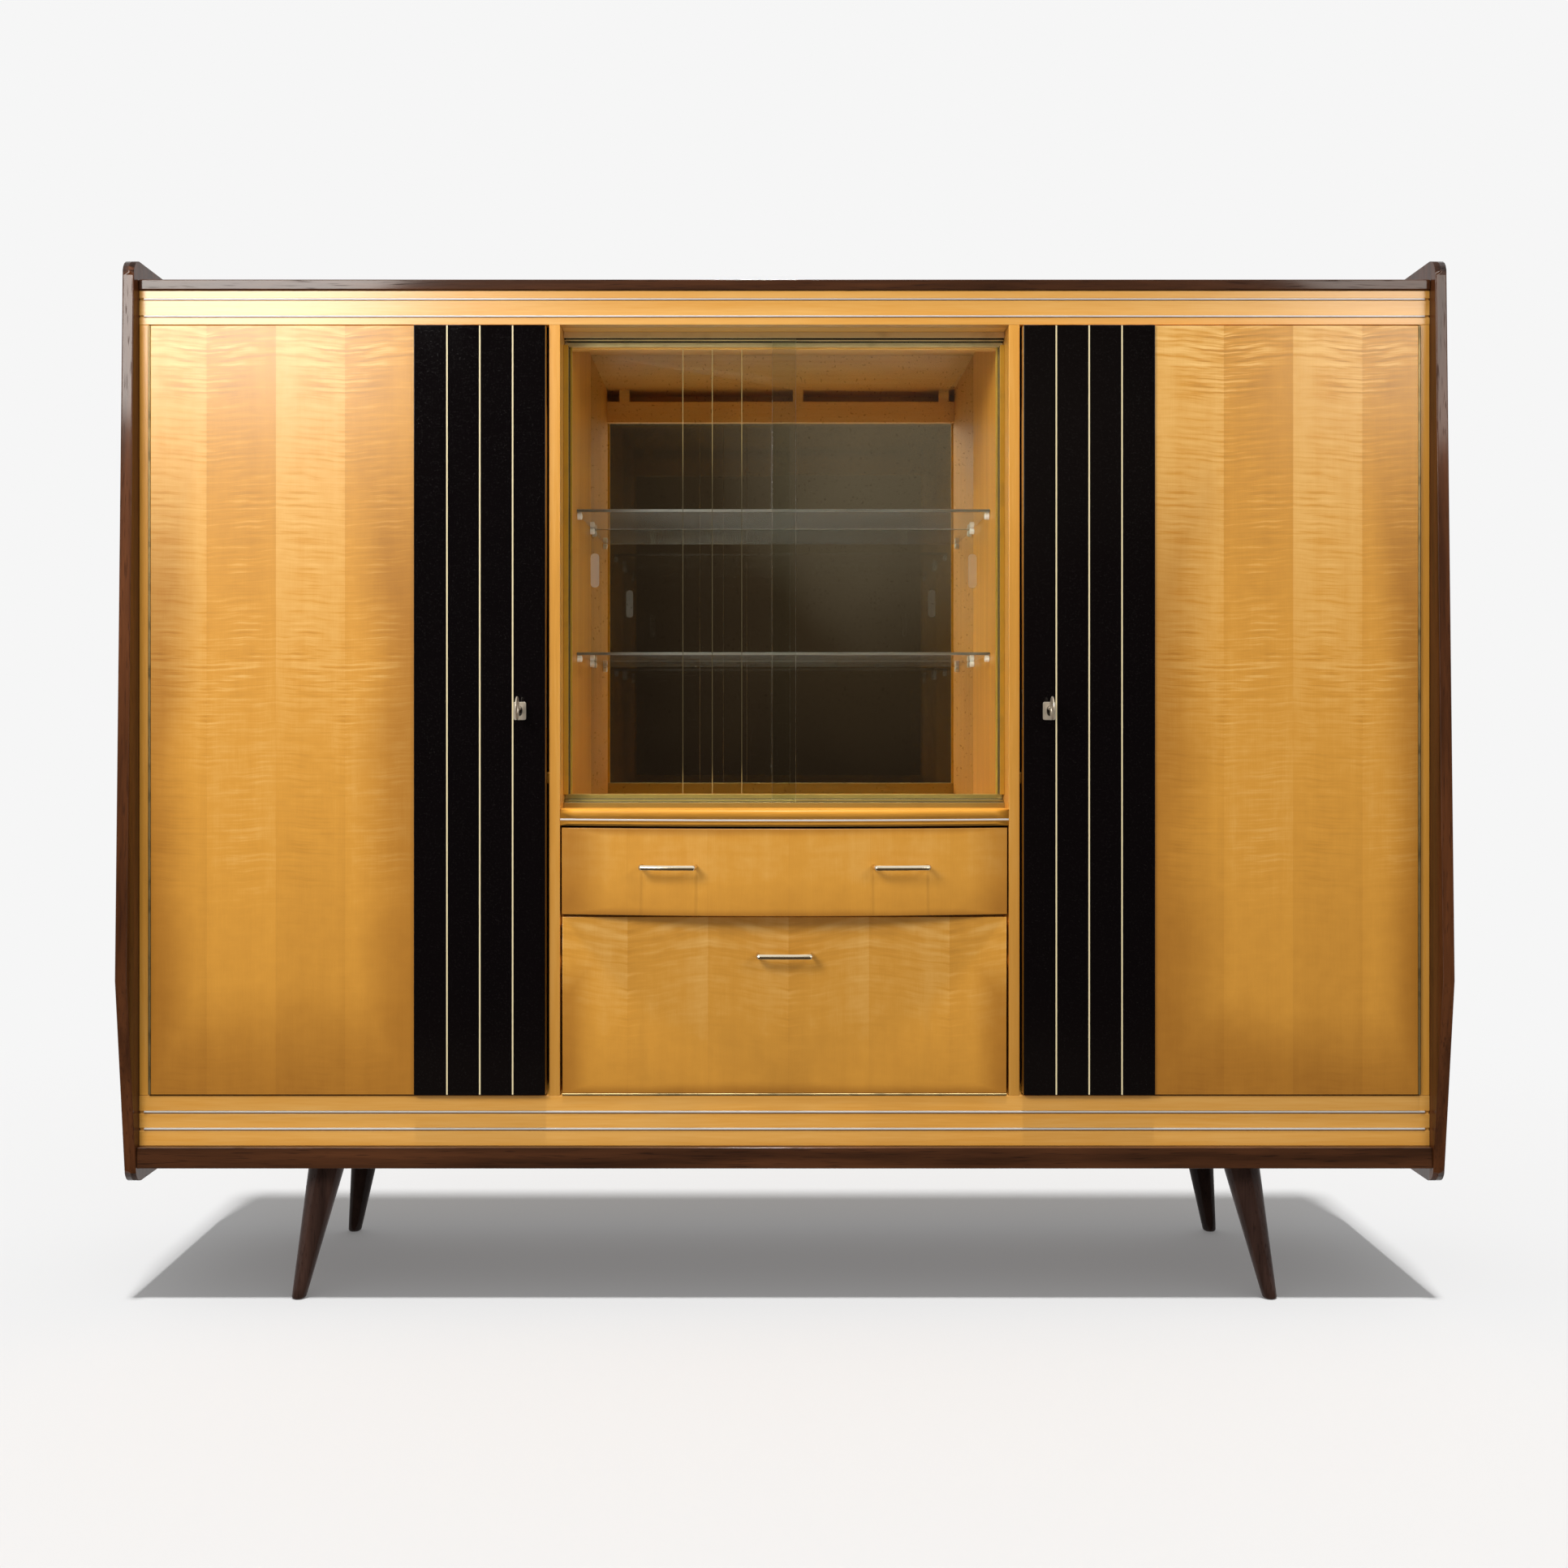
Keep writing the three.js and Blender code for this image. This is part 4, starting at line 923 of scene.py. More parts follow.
def from_rings(name, rings, closed=False):
    """A skin over rings of points; open rows of rings get a cap at both ends."""
    bm = bmesh.new()
    loops = [[bm.verts.new(point) for point in ring] for ring in rings]
    count = len(loops[0])
    pairs = list(zip(loops, loops[1:]))
    if closed:
        pairs.append((loops[-1], loops[0]))
    for first, second in pairs:
        for i in range(count):
            j = (i + 1) % count
            bm.faces.new((first[i], first[j], second[j], second[i]))
    if not closed:
        bm.faces.new(list(reversed(loops[0])))
        bm.faces.new(loops[-1])
    bmesh.ops.recalc_face_normals(bm, faces=bm.faces)
    mesh = bpy.data.meshes.new(name)
    bm.to_mesh(mesh)
    bm.free()
    smoothed(mesh)
    return mesh


def circle(centre, radius, sides):
    x, y, z = centre
    turns = [2 * math.pi * i / sides for i in range(sides)]
    return [(x + radius * math.cos(t), y + radius * math.sin(t), z) for t in turns]


def joined_mesh(name, parts):
    """Several meshes as one."""
    bm = bmesh.new()
    for part in parts:
        bm.from_mesh(part)
        bpy.data.meshes.remove(part)
    mesh = bpy.data.meshes.new(name)
    bm.to_mesh(mesh)
    bm.free()
    return mesh


def lathe(name, profile, axis_point, direction, sides):
    """A turned shape: profile holds (distance along the direction, radius) pairs."""
    turn = Vector((0, 0, 1)).rotation_difference(Vector(direction)).to_matrix().to_4x4()
    place = Matrix.Translation(axis_point) @ turn
    rings = [
        [place @ Vector(point) for point in circle((0, 0, far), radius, sides)]
        for far, radius in profile
    ]
    return from_rings(name, rings)


# Legs

LEG_SIDES = 48
LEG_LEVELS = 14
FOOT_STEPS = 5


def leg_rings(node):
    s = sizes()
    low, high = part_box(node)
    outward = -1 if low.x < 0 else 1
    forward = -1 if "front" in node else 1
    foot = Vector((
        low.x + s.foot_radius if outward < 0 else high.x - s.foot_radius,
        low.y + s.foot_radius if forward < 0 else high.y - s.foot_radius,
        low.z,
    ))
    head = Vector((
        high.x - s.leg_radius if outward < 0 else low.x + s.leg_radius,
        high.y - s.leg_radius if forward < 0 else low.y + s.leg_radius,
        high.z - s.collar,
    ))
    rings = []
    for i in range(FOOT_STEPS):
        turn = math.pi / 2 * i / FOOT_STEPS
        rise = s.foot_round * (1 - math.cos(turn))
        radius = s.foot_radius - s.foot_round * (1 - math.sin(turn))
        share = rise / (head.z - foot.z)
        rings.append(circle(foot.lerp(head, share), radius, LEG_SIDES))
    first = s.foot_round / (head.z - foot.z)
    for i in range(LEG_LEVELS + 1):
        share = first + (1 - first) * i / LEG_LEVELS
        radius = s.foot_radius + (s.leg_radius - s.foot_radius) * share
        rings.append(circle(foot.lerp(head, share), radius, LEG_SIDES))
    return rings, head


class CABINET_OT_legs(bpy.types.Operator):
    """Turned, splayed legs with a rounded foot and a pale disc under the case"""
    bl_idname = "cabinet.legs"
    bl_label = "Legs"
    bl_options = {"REGISTER", "UNDO"}

    def execute(self, context):
        tones = colours()
        stain = {
            "front": finish("leg_wood", dark_wood, "z", tones.leg_deep, tones.leg_light, 0.2),
            # Painted shade: the rear legs take the stain at 0.4 of its tones, for the shade they stand
            # in
            "rear": finish("rear_leg_wood", dark_wood, "z", [v * 0.4 for v in tones.leg_deep],
                           [v * 0.4 for v in tones.leg_light], 0.1),
        }
        strip_sheen_contrast = maple_along("x", 0.3, 0.1)
        s = sizes()
        for end in ("front", "rear"):
            for side in SIDES:
                node = f"{end}_{side}_leg"
                rings, head = leg_rings(node)
                mesh = from_rings(node + "_turned", rings)
                mesh.set_sharp_from_angle(angle=CORNER)
                piece_of(node + "_turned", mesh, "cabinet", stain[end], [node])
                profile = [(0.0, s.leg_radius * 0.99), (s.collar, s.leg_radius * 0.99)]
                disc = lathe(node + "_disc", profile, head, (0, 0, 1), LEG_SIDES)
                disc.set_sharp_from_angle(angle=CORNER)
                piece_of(node + "_disc", disc, "cabinet", strip_sheen_contrast)
        return {"FINISHED"}


# Case

class CABINET_OT_case(bpy.types.Operator):
    """Walnut side panels, top and bottom boards, and the boards inside the case"""
    bl_idname = "cabinet.case"
    bl_label = "Case"
    bl_options = {"REGISTER", "UNDO"}

    def execute(self, context):
        s = sizes()
        for side in SIDES:
            board(f"{side}_side_panel", s.walnut_round, walnut("z"), 0.02)
            board(f"{side}_stile", s.board_round, maple_along("z"))
            board(f"{side}_partition", s.board_round, maple_along("z"), 0.05)
            board(f"{side}_cupboard_shelf", s.board_round, maple_along("x", 0.6))
        board("top_board", s.walnut_round, walnut("x"))
        board("bottom_board", s.walnut_round / 2, walnut("x"))
        for name in ("upper", "lower"):
            board(f"{name}_fascia", s.board_round / 2, maple_along("x", 1.5, -0.08))
            for place in ("high", "low"):
                trim = f"{name}_fascia_{place}_trim"
                # The tone given is the painted shade on the lower part of the strip
                board(trim, s.metal_round, let_in(trim, (0.16, 0.07, 0.02)))
        board("carcass_floor", s.board_round, maple_along("x", 0.6))
        board("drawer_shelf", s.board_round, maple_along("x", 0.6))
        return {"FINISHED"}


NAIL_RISE = 0.0004


class CABINET_OT_back(bpy.types.Operator):
    """Plywood back and the nails round its edge"""
    bl_idname = "cabinet.back"
    bl_label = "Back"
    bl_options = {"REGISTER", "UNDO"}

    def execute(self, context):
        s = sizes()
        paint("back_panel", finish("plywood", plywood))
        low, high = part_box("back_panel")
        inset = 4 * s.nail_radius
        left, right = low.x + inset, high.x - inset
        bottom, top = low.z + inset, high.z - inset
        across = round((right - left) / s.nail_pitch)
        up = round((top - bottom) / s.nail_pitch)
        places = []
        for i in range(across + 1):
            x = left + (right - left) * i / across
            places += [(x, high.y, bottom), (x, high.y, top)]
        for i in range(1, up):
            z = bottom + (top - bottom) * i / up
            places += [(left, high.y, z), (right, high.y, z)]
            for side in SIDES.values():
                places.append((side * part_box("right_partition")[0].x, high.y, z))
        values = {"Radius": s.nail_radius, "Reach": NAIL_RISE, "Sides": 12,
                  "Turn": Vector((-math.pi / 2, 0, 0))}
        grown("back_nails", tree(heads_tree), values, steel(), "cabinet", (), places)
        return {"FINISHED"}


# Doors

DOOR_FIGURE = {
    "waves": 205, "drop": 0.006, "foot": 0.25, "head": 1.9, "contrast": 0.17, "sheen": 0.0,
    "reach": 0.12, "rim_end": 0.6,
}
# How fast the painted rim shade clears from the left, the right, the foot and the head of a door
DOOR_RIM = {"left": (1.3, 1.1, 0.6, 4.0), "right": (0.9, 1.6, 0.6, 4.0)}


class CABINET_OT_doors(bpy.types.Operator):
    """Figured maple doors with black glass and gold lines"""
    bl_idname = "cabinet.doors"
    bl_label = "Doors"
    bl_options = {"REGISTER", "UNDO"}

    def execute(self, context):
        s = sizes()
        for side, sign in SIDES.items():
            low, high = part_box(f"{side}_door")
            edge = min(abs(low.x), abs(high.x)) + s.black_width
            start = edge if sign > 0 else -edge - 4 * s.door_strip
            veneer = ((edge, 0, low.z), high) if sign > 0 else (low, (-edge, 0, high.z))
            wood = finish(
                f"{side}_door_veneer", figured_maple, start, s.door_strip, veneer, DOOR_FIGURE,
                DOOR_RIM[side],
            )
            board(f"{side}_door", s.board_round, wood, 0.05)
            glass = f"{side}_door_black_panel"
            board(glass, s.board_round, finish("black_glass", black_glass), 0.05)
            low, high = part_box(glass)
            inner = low.x if sign > 0 else high.x
            first = inner + sign * s.gold_first - (0 if sign > 0 else 2 * s.gold_pitch)
            values = {
                "Pitch": s.gold_pitch, "Width": s.gold_width, "Thickness": 2 * s.gold_proud,
                "Height": high.z - low.z - 2 * s.board_round,
                "Place": Vector((first, low.y, low.z + s.board_round)),
            }
            grown(f"{side}_gold_lines", tree(lines_tree), values, gold(), f"{side}_door")
        return {"FINISHED"}


# Piano hinges

LEAF_GAP = 0.0003
DOOR_LEAF = 0.001
FLAP_LEAF = 0.0008
PIN_SHARE = 0.45


def hinge_leaf(node, first, side, radius, leaf, width, gap, place, turn, length_):
    s = sizes()
    values = {
        "Length": length_, "Knuckles": round(length_ / s.knuckle), "First": first,
        "Radius": radius, "Leaf": leaf, "Width": width, "Face": gap / 2 - LEAF_GAP, "Side": side,
        "Pin": radius * PIN_SHARE, "Screws": round(length_ / s.screw_pitch),
        "Screw Radius": s.screw_radius, "Place": place, "Turn": turn,
    }
    grown(node + "_knuckles", tree(hinge_tree), values, old_brass(), body_of(node), [node])


class CABINET_OT_hinges(bpy.types.Operator):
    """Piano hinges of the doors and of the bar flap, with pin and screws"""
    bl_idname = "cabinet.hinges"
    bl_label = "Piano hinges"
    bl_options = {"REGISTER", "UNDO"}

    def execute(self, context):
        joints = {joint["name"]: joint for joint in frame["joints"]}
        for side, sign in SIDES.items():
            at = Vector(joints[f"{side}_door_hinge"]["pos_m"])
            for part, first, inward in (("stile", 0, 1), ("door", 1, -1)):
                node = f"{side}_{part}_hinge_leaf"
                low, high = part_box(node)
                leaf_side = float(inward * sign)
                edge = high.x if leaf_side > 0 else low.x
                gap = 2 * (abs(edge - at.x) + LEAF_GAP)
                place = Vector((at.x, at.y, low.z))
                hinge_leaf(node, first, leaf_side, at.y - low.y, DOOR_LEAF, high.y - at.y, gap,
                           place, Vector((0, 0, 0)), high.z - low.z)
        at = Vector(joints["flap_hinge"]["pos_m"])
        for node, first, leaf_side in (("fascia_hinge_leaf", 0, 1.0), ("flap_hinge_leaf", 1, -1.0)):
            low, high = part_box(node)
            edge = low.z if leaf_side > 0 else high.z
            gap = 2 * (abs(edge - at.z) + LEAF_GAP)
            place = Vector((low.x, at.y, at.z))
            hinge_leaf(node, first, leaf_side, at.y - low.y, FLAP_LEAF, high.y - at.y, gap,
                       place, Vector((0, math.pi / 2, 0)), high.x - low.x)
        return {"FINISHED"}


# Locks and keys

KEY_STEPS = 56
BOW_SECTION = 12

# Proportions of a key's bow, on its height
BOW_HEIGHT = 39
BOW_WIDTH = 36
BOW_THICKNESS = 2.6
BOW_HOLE_WIDTH = 15
BOW_HOLE_HEIGHT = 18

# The bit of a key: how far it ends before the shaft does, its size along, down and across
BIT_SETBACK = 0.0015
BIT_DEPTH = 0.006
BIT_DROP = 0.0085
BIT_WIDTH = 0.002


def key_bow(centre, width, height, hole_width, hole_height, thickness):
    """The flat ring of a key in the YZ plane, its rim rounded."""
    rings = []
    for i in range(KEY_STEPS):
        turn = 2 * math.pi * i / KEY_STEPS
        outer = Vector((0, math.cos(turn) * width / 2, math.sin(turn) * height / 2))
        inner = Vector((0, math.cos(turn) * hole_width / 2, math.sin(turn) * hole_height / 2))
        middle, half = (outer + inner) / 2, (outer - inner) / 2
        ring = []
        for j in range(BOW_SECTION):
            around = 2 * math.pi * j / BOW_SECTION
            flat = [math.copysign(abs(value) ** 0.55, value)
                    for value in (math.cos(around), math.sin(around))]
            ring.append(centre + middle + half * flat[0] + Vector((flat[1] * thickness / 2, 0, 0)))
        rings.append(ring)
    return from_rings("bow", rings, closed=True)


def key_bit(x, back, depth, top, drop, width):
    """The bit of a key with two cuts in its lower edge."""
    outline_shares = [(0, 0), (1, 0), (1, 1), (0.72, 1), (0.72, 0.62), (0.52, 0.62), (0.52, 1),
                      (0.34, 1), (0.34, 0.72), (0.18, 0.72), (0.18, 1), (0, 1)]
    rings = [
        [(x + side * width / 2, back - depth * a, top - drop * b) for a, b in outline_shares]
        for side in (-1, 1)
    ]
    mesh = from_rings("bit", rings)
    mesh.set_sharp_from_angle(angle=CORNER)
    return mesh


class CABINET_OT_locks(bpy.types.Operator):
    """Lock plates with their keyholes, bolts and the keys"""
    bl_idname = "cabinet.locks"
    bl_label = "Locks and keys"
    bl_options = {"REGISTER", "UNDO"}

    def execute(self, context):
        s = sizes()
        joints = {joint["name"]: joint for joint in frame["joints"]}
        for side in SIDES:
            low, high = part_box(f"{side}_door_key")
            at = joints[f"{side}_key_turn"]["pos_m"]
            plate = finish(f"{side}_lock_plate", lock_plate, at[0], at[2])
            board(f"{side}_door_lock", s.metal_round * 1.4, plate, 0.0012)
            board(f"{side}_door_bolt", s.metal_round * 2, steel())
            x, z = at[0], at[2]
            height = 2 * (high.z - z)
            width = height * BOW_WIDTH / BOW_HEIGHT
            thickness = height * BOW_THICKNESS / BOW_HEIGHT
            hole = (height * BOW_HOLE_WIDTH / BOW_HEIGHT, height * BOW_HOLE_HEIGHT / BOW_HEIGHT)
            bow_centre = Vector((x, low.y + width / 2, z))
            radius = thickness
            start, end = low.y + width * 0.86, high.y
            profile = [(0.0, radius * 0.9), (radius, radius), (radius * 1.6, radius * 1.35),
                       (radius * 2.4, radius * 1.35), (radius * 2.9, radius),
                       (end - start - radius * 0.6, radius), (end - start, radius * 0.6)]
            parts = [
                key_bow(bow_centre, width, height, *hole, thickness),
                lathe("shaft", profile, (x, start, z), (0, 1, 0), 32),
                key_bit(x, end - BIT_SETBACK, BIT_DEPTH, z, BIT_DROP, BIT_WIDTH),
            ]
            mesh = joined_mesh(f"{side}_key_turned", parts)
            mesh.set_sharp_from_angle(angle=CORNER)
            piece_of(mesh.name, mesh, f"{side}_key", satin_nickel(), [f"{side}_door_key"])
        return {"FINISHED"}


# Handles

HANDLE_ARCH_STEPS = 24
HANDLE_BEND_STEPS = 6
# The section as shares of thickness and height: two faces that meet in a ridge, and a flat back
HANDLE_SECTION = ((-0.5, -0.5), (0.04, -0.5), (0.10, -0.46), (0.46, -0.06), (0.5, 0.0), (0.46, 0.06),
                  (0.10, 0.46), (0.04, 0.5), (-0.5, 0.5))


def handle_path(half, stand, arch, bend):
    """Points from one foot of the handle along the bar to the other, in its own XY plane."""
    points = [(-half, 0.0), (-half, -stand + bend)]
    for i in range(1, HANDLE_BEND_STEPS):
        turn = math.pi / 2 * i / HANDLE_BEND_STEPS
        points.append((-half + bend * (1 - math.cos(turn)), -stand + bend * (1 - math.sin(turn))))
    for i in range(HANDLE_ARCH_STEPS + 1):
        x = (half - bend) * (2 * i / HANDLE_ARCH_STEPS - 1)
        points.append((x, -stand - arch * (1 - (x / (half - bend)) ** 2)))
    points += [(-x, y) for x, y in reversed(points[:HANDLE_BEND_STEPS + 1])]
    return [Vector((x, y, 0)) for x, y in points]


def bent_bar(name, length_, reach):
    """A bar with a ridge along its face, bent back at both ends to the front that carries it."""
    s = sizes()
    thickness, half = s.handle_thickness, (length_ - s.handle_thickness) / 2
    bar = handle_path(half, reach - s.handle_arch - thickness / 2, s.handle_arch,
                      s.handle_bend - thickness / 2)
    rings = []
    for i, point in enumerate(bar):
        along = (bar[min(len(bar) - 1, i + 1)] - bar[max(0, i - 1)]).normalized()
        outward = Vector((along.y, -along.x, 0)) * thickness
        rings.append([
            point + outward * out + Vector((0, 0, up * s.handle_height)) for out, up in HANDLE_SECTION
        ])
    mesh = from_rings(name, rings)
    mesh.set_sharp_from_angle(angle=math.radians(20))
    return mesh


class CABINET_OT_handles(bpy.types.Operator):
    """Bent bar handles of the drawer and the flap"""
    bl_idname = "cabinet.handles"
    bl_label = "Handles"
    bl_options = {"REGISTER", "UNDO"}

    def execute(self, context):
        s = sizes()
        low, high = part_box("flap_handle")
        length_, reach = high.x - low.x, high.y - low.y
        flap_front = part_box("bar_flap")[0].y
        radius, foremost = bow_of_front()
        for node in ("left_drawer_handle", "right_drawer_handle", "flap_handle"):
            own = sum(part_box(node), Vector()) / 2
            x, front, turn = own.x, flap_front, 0.0
            if node != "flap_handle":
                x /= 1 + (reach - s.handle_arch - s.handle_bend) / (2 * radius)
                turn = math.asin(x / radius)
                front = foremost + radius * (1 - math.cos(turn))
            mesh = bent_bar(node + "_bent", length_, reach)
            root = front - (flap_front - high.y)
            mesh.transform(Matrix.Translation((x, root, own.z)) @ Matrix.Rotation(turn, 4, "Z"))
            piece_of(mesh.name, mesh, body_of(node), nickel(), [node])
        return {"FINISHED"}


DRAWER_FRONT_THICKNESS = 0.020


def bow_of_front():
    """Radius of the drawer's bow and the place of its foremost line."""
    low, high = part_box("drawer_front")
    half = high.x
    rise = high.y - low.y - DRAWER_FRONT_THICKNESS
    return (half ** 2 + rise ** 2) / (2 * rise), low.y


# Showcase, drawer and flap

LINING_THICKNESS = 0.008
LINING_SKIN = 0.00005


def lining_trim(side):
    """Cuts the square stubs off a lining, because round pins stand in their places."""
    def trim(bm):
        bay = abs(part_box("mirror")[0].x)
        face = bay - LINING_THICKNESS + LINING_SKIN
        sign = SIDES[side]
        geometry = bm.verts[:] + bm.edges[:] + bm.faces[:]
        cut = bmesh.ops.bisect_plane(
            bm, geom=geometry, plane_co=(sign * face, 0, 0), plane_no=(-sign, 0, 0),
            clear_outer=True,
        )
        edges = [e for e in cut["geom_cut"] if isinstance(e, bmesh.types.BMEdge)]
        bmesh.ops.contextual_create(bm, geom=edges)
    return trim


PULL_INSET = 0.005
PAINT_THICKNESS = 0.0003
PAINT_GAP = 0.0001
DARK_PAINT = (0.03, 0.022, 0.012)
PIN_GAP = 0.0003
PIN_INSET = 0.014
PIN_ROUND_SHARE = 0.3


def clear_piece(node, broad_axis, radius, glass, edge):
    """A glass piece: broad faces clear, edges in the deeper colour of glass seen edge-on."""
    piece = board(node, radius, glass, 0.02)
    mesh = piece.data
    mesh.materials.append(edge)
    mesh.materials.append(frosted())
    low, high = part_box(node)
    for polygon in mesh.polygons:
        inside = all(
            low[i] + PULL_INSET < polygon.center[i] < high[i] - PULL_INSET
            for i in range(3) if i != broad_axis
        )
        depth = polygon.center[broad_axis] - low[broad_axis]
        thickness = high[broad_axis] - low[broad_axis]
        if inside and 0.05 * thickness < depth < 0.95 * thickness:
            polygon.material_index = 2
        elif not inside and abs(polygon.normal[broad_axis]) < 0.5:
            polygon.material_index = 1
    return piece


class CABINET_OT_showcase(bpy.types.Operator):
    """Showcase: floor with its lip, ceiling, mirror, linings, pins, shelves, tracks and panes"""
    bl_idname = "cabinet.showcase"
    bl_label = "Showcase"
    bl_options = {"REGISTER", "UNDO"}

    def execute(self, context):
        s = sizes()
        # Painted shade: the showcase floor is darker than the other maple, to tone down the light on its
        # top and front edge
        board("vitrine_floor", s.board_round, maple_along("x", 0.2, 0.16), 0.05)
        # The tone given is the painted shade on the lower part of the strip
        board("lip_trim", s.metal_round, let_in("lip_trim", (0.42, 0.19, 0.04)), 0.001)
        # Painted light: the showcase ceiling is paler than the other maple, for the light it gets only
        # by bounce
        board("vitrine_ceiling", s.board_round, maple_along("x", 0.25, -0.3), 0.005)
        paint("mirror", finish("mirror_glass", mirror_glass))
        for side in SIDES:
            lining = f"{side}_vitrine_lining"
            board(lining, s.board_round, maple_along("z", 0.35, 0.06), 0.01, lining_trim(side))
            fins = track_brass("right_glass_channel", "side")
            board(f"{side}_glass_channel", s.metal_round, fins)
        for level in ("lower", "upper"):
            track = f"{level}_glass_track"
            board(track, s.metal_round, track_brass(track, level))
            clear_piece(f"{level}_glass_shelf", 2, s.glass_round, shelf_glass(), shelf_edge())
        for side in SIDES:
            clear_piece(f"{side}_glass_pane", 1, s.glass_round, clear(), clear_edge())
        self.pane_lines(s)
        self.pins(s)
        return {"FINISHED"}

    def pane_lines(self, s):
        low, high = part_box("left_glass_pane")
        values = {
            "Pitch": s.pane_line_pitch, "Width": s.pane_line_width, "Thickness": PAINT_THICKNESS,
            "Height": high.z - low.z - 2 * s.pane_line_inset,
            "Place": Vector((
                -s.pane_line_last - 2 * s.pane_line_pitch, low.y - PAINT_GAP,
                low.z + s.pane_line_inset,
            )),
        }
        paint_gold = finish("pane_gold", line_gold, low.z, high.z)
        lines = grown("left_pane_lines", tree(lines_tree), values, paint_gold, "left_pane")
        lines.data.materials.append(finish("dark_paint", plastic, DARK_PAINT))
        for polygon in lines.data.polygons:
            if polygon.normal.y > 0.5:
                polygon.material_index = 1

    def pins(self, s):
        material = finish("white_plastic", plastic, colours().pin)
        for side, sign in SIDES.items():
            low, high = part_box(f"{side}_vitrine_lining")
            tip = low.x if sign > 0 else high.x
            wall = sign * (abs(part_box("mirror")[0].x) - LINING_THICKNESS)
            places = []
            for level in ("lower", "upper"):
                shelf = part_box(f"{level}_glass_shelf")
                z = shelf[0].z - s.pin_radius - PIN_GAP
                for y in (shelf[0].y + PIN_INSET, shelf[1].y - PIN_INSET):
                    places.append(((tip + wall) / 2, y, z))
            values = {
                "Radius": s.pin_radius, "Reach": abs(wall - tip) - PIN_ROUND_SHARE * s.pin_radius,
                "Sides": 24, "Turn": Vector((0, -sign * math.pi / 2, 0)),
            }
            grown(f"{side}_shelf_pins", tree(heads_tree), values, material, "cabinet", (), places)


BAY_FIGURES = {
    "drawer_front": {
        "waves": 150, "drop": 0.004, "foot": 0.1, "head": 0.15, "contrast": 0.0, "sheen": 0.05,
        "reach": 0.06, "rim_end": 2.0,
    },
    "bar_flap": {
        "waves": 140, "drop": 0.02, "foot": 0.1, "head": 1.3, "contrast": 0.02, "sheen": 0.16,
        "reach": 0.06, "rim_end": 0.5,
    },
}
# How fast the painted rim shade clears from the left, the right, the foot and the head of the drawer and
# the flap
BAY_RIMS = {"drawer_front": (0.7, 0.6, 4.0, 4.0), "bar_flap": (1.0, 1.0, 3.0, 9.0)}


class CABINET_OT_bar(bpy.types.Operator):
    """Bowed drawer, its box, the bar flap and the flap's stay"""
    bl_idname = "cabinet.bar"
    bl_label = "Drawer and bar"
    bl_options = {"REGISTER", "UNDO"}

    def execute(self, context):
        s = sizes()
        start = s.bay_strip_start - 3 * s.bay_strip
        for node, figure in BAY_FIGURES.items():
            wood = finish(
                node + "_veneer", figured_maple, start, s.bay_strip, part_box(node), figure,
                BAY_RIMS[node],
            )
            board(node, s.board_round, wood, 0.02)
        board("drawer_box", s.board_round, maple_along("x", 0.3), 0.01)
        board("flap_stay", s.metal_round, brass(), 0.002)
        return {"FINISHED"}


# Stage

def lamp(name, place, target, width, height, power, warmth):
    data = bpy.data.lights.new(name, "AREA")
    data.shape = "RECTANGLE"
    data.size = width
    data.size_y = height
    data.energy = power
    data.color = warmth
    made = bpy.data.objects.new(name, data)
    made.location = place
    made.rotation_euler = (Vector(target) - Vector(place)).to_track_quat("-Z", "Y").to_euler()
    bpy.context.scene.collection.objects.link(made)
    return made


def mesh_of_faces(name, faces):
    mesh = bpy.data.meshes.new(name)
    corners = [corner for face in faces for corner in face]
    mesh.from_pydata(corners, [], [[4 * i + j for j in range(4)] for i in range(len(faces))])
    made = bpy.data.objects.new(name, mesh)
    bpy.context.scene.collection.objects.link(made)
    return made


# The floor's brightness in full light is made of its glow, the world's light and the high light
FLOOR_LEVEL = 0.925
FLOOR_TONE = 0.6
FLOOR_GLOW = 0.12
WORLD_LEVEL = 0.43
SUN_TILT = math.radians(7.1)
SUN_WIDTH = math.radians(3.0)
FLOOR_REACH = 9.0
FLOOR_FADE = (1.7, 2.6)

# The dim room: half its width, its near and far ends and its lower and upper edges
ROOM_HALF = 7.0
ROOM_NEAR = -0.4
ROOM_FAR = -6.0
ROOM_LOW = -1.2
ROOM_HIGH = 5.5

# Front lamps: place, what they point at, width, height, power and colour
LAMPS = {
    "key": ((-1.9, -2.65, 2.65), (-0.4, -0.2, 1.0), 1.4, 1.2, 77, (1.0, 0.97, 0.92)),
    "fill": ((2.3, -2.6, 2.5), (0.5, -0.2, 1.0), 1.2, 1.0, 24, (1.0, 0.96, 0.90)),
}

# The photograph's frame in pixels: its side, the focal length and the point straight ahead
FRAME_SIDE = 1932
FOCAL_LENGTH = 1952.4
AHEAD_X = 944.3
AHEAD_Y = 907
SENSOR = 36


def floor_finish(name, bright):
    """A pale floor that keeps the cabinet's shadow and turns into the backdrop further out."""
    f = Finish(name)
    x, y, z = f.place()
    far = (x * x * 0.5 + y * y).math("SQRT").fit(*FLOOR_FADE)
    glow = f.node("ShaderNodeEmission", None, {"Color": (bright,) * 3, "Strength": 1.0})
    lit = f.node("ShaderNodeBsdfDiffuse", None, {"Color": (FLOOR_TONE,) * 3})
    base = f.node("ShaderNodeEmission", None, {"Color": (1.0, 1.0, 1.0), "Strength": FLOOR_GLOW})
    near = f.node("ShaderNodeAddShader", None, {0: lit.outputs[0], 1: base.outputs[0]})
    mixed = f.node("ShaderNodeMixShader", None, {0: far, 1: near.outputs[0], 2: glow.outputs[0]})
    return f.done(mixed.outputs[0])


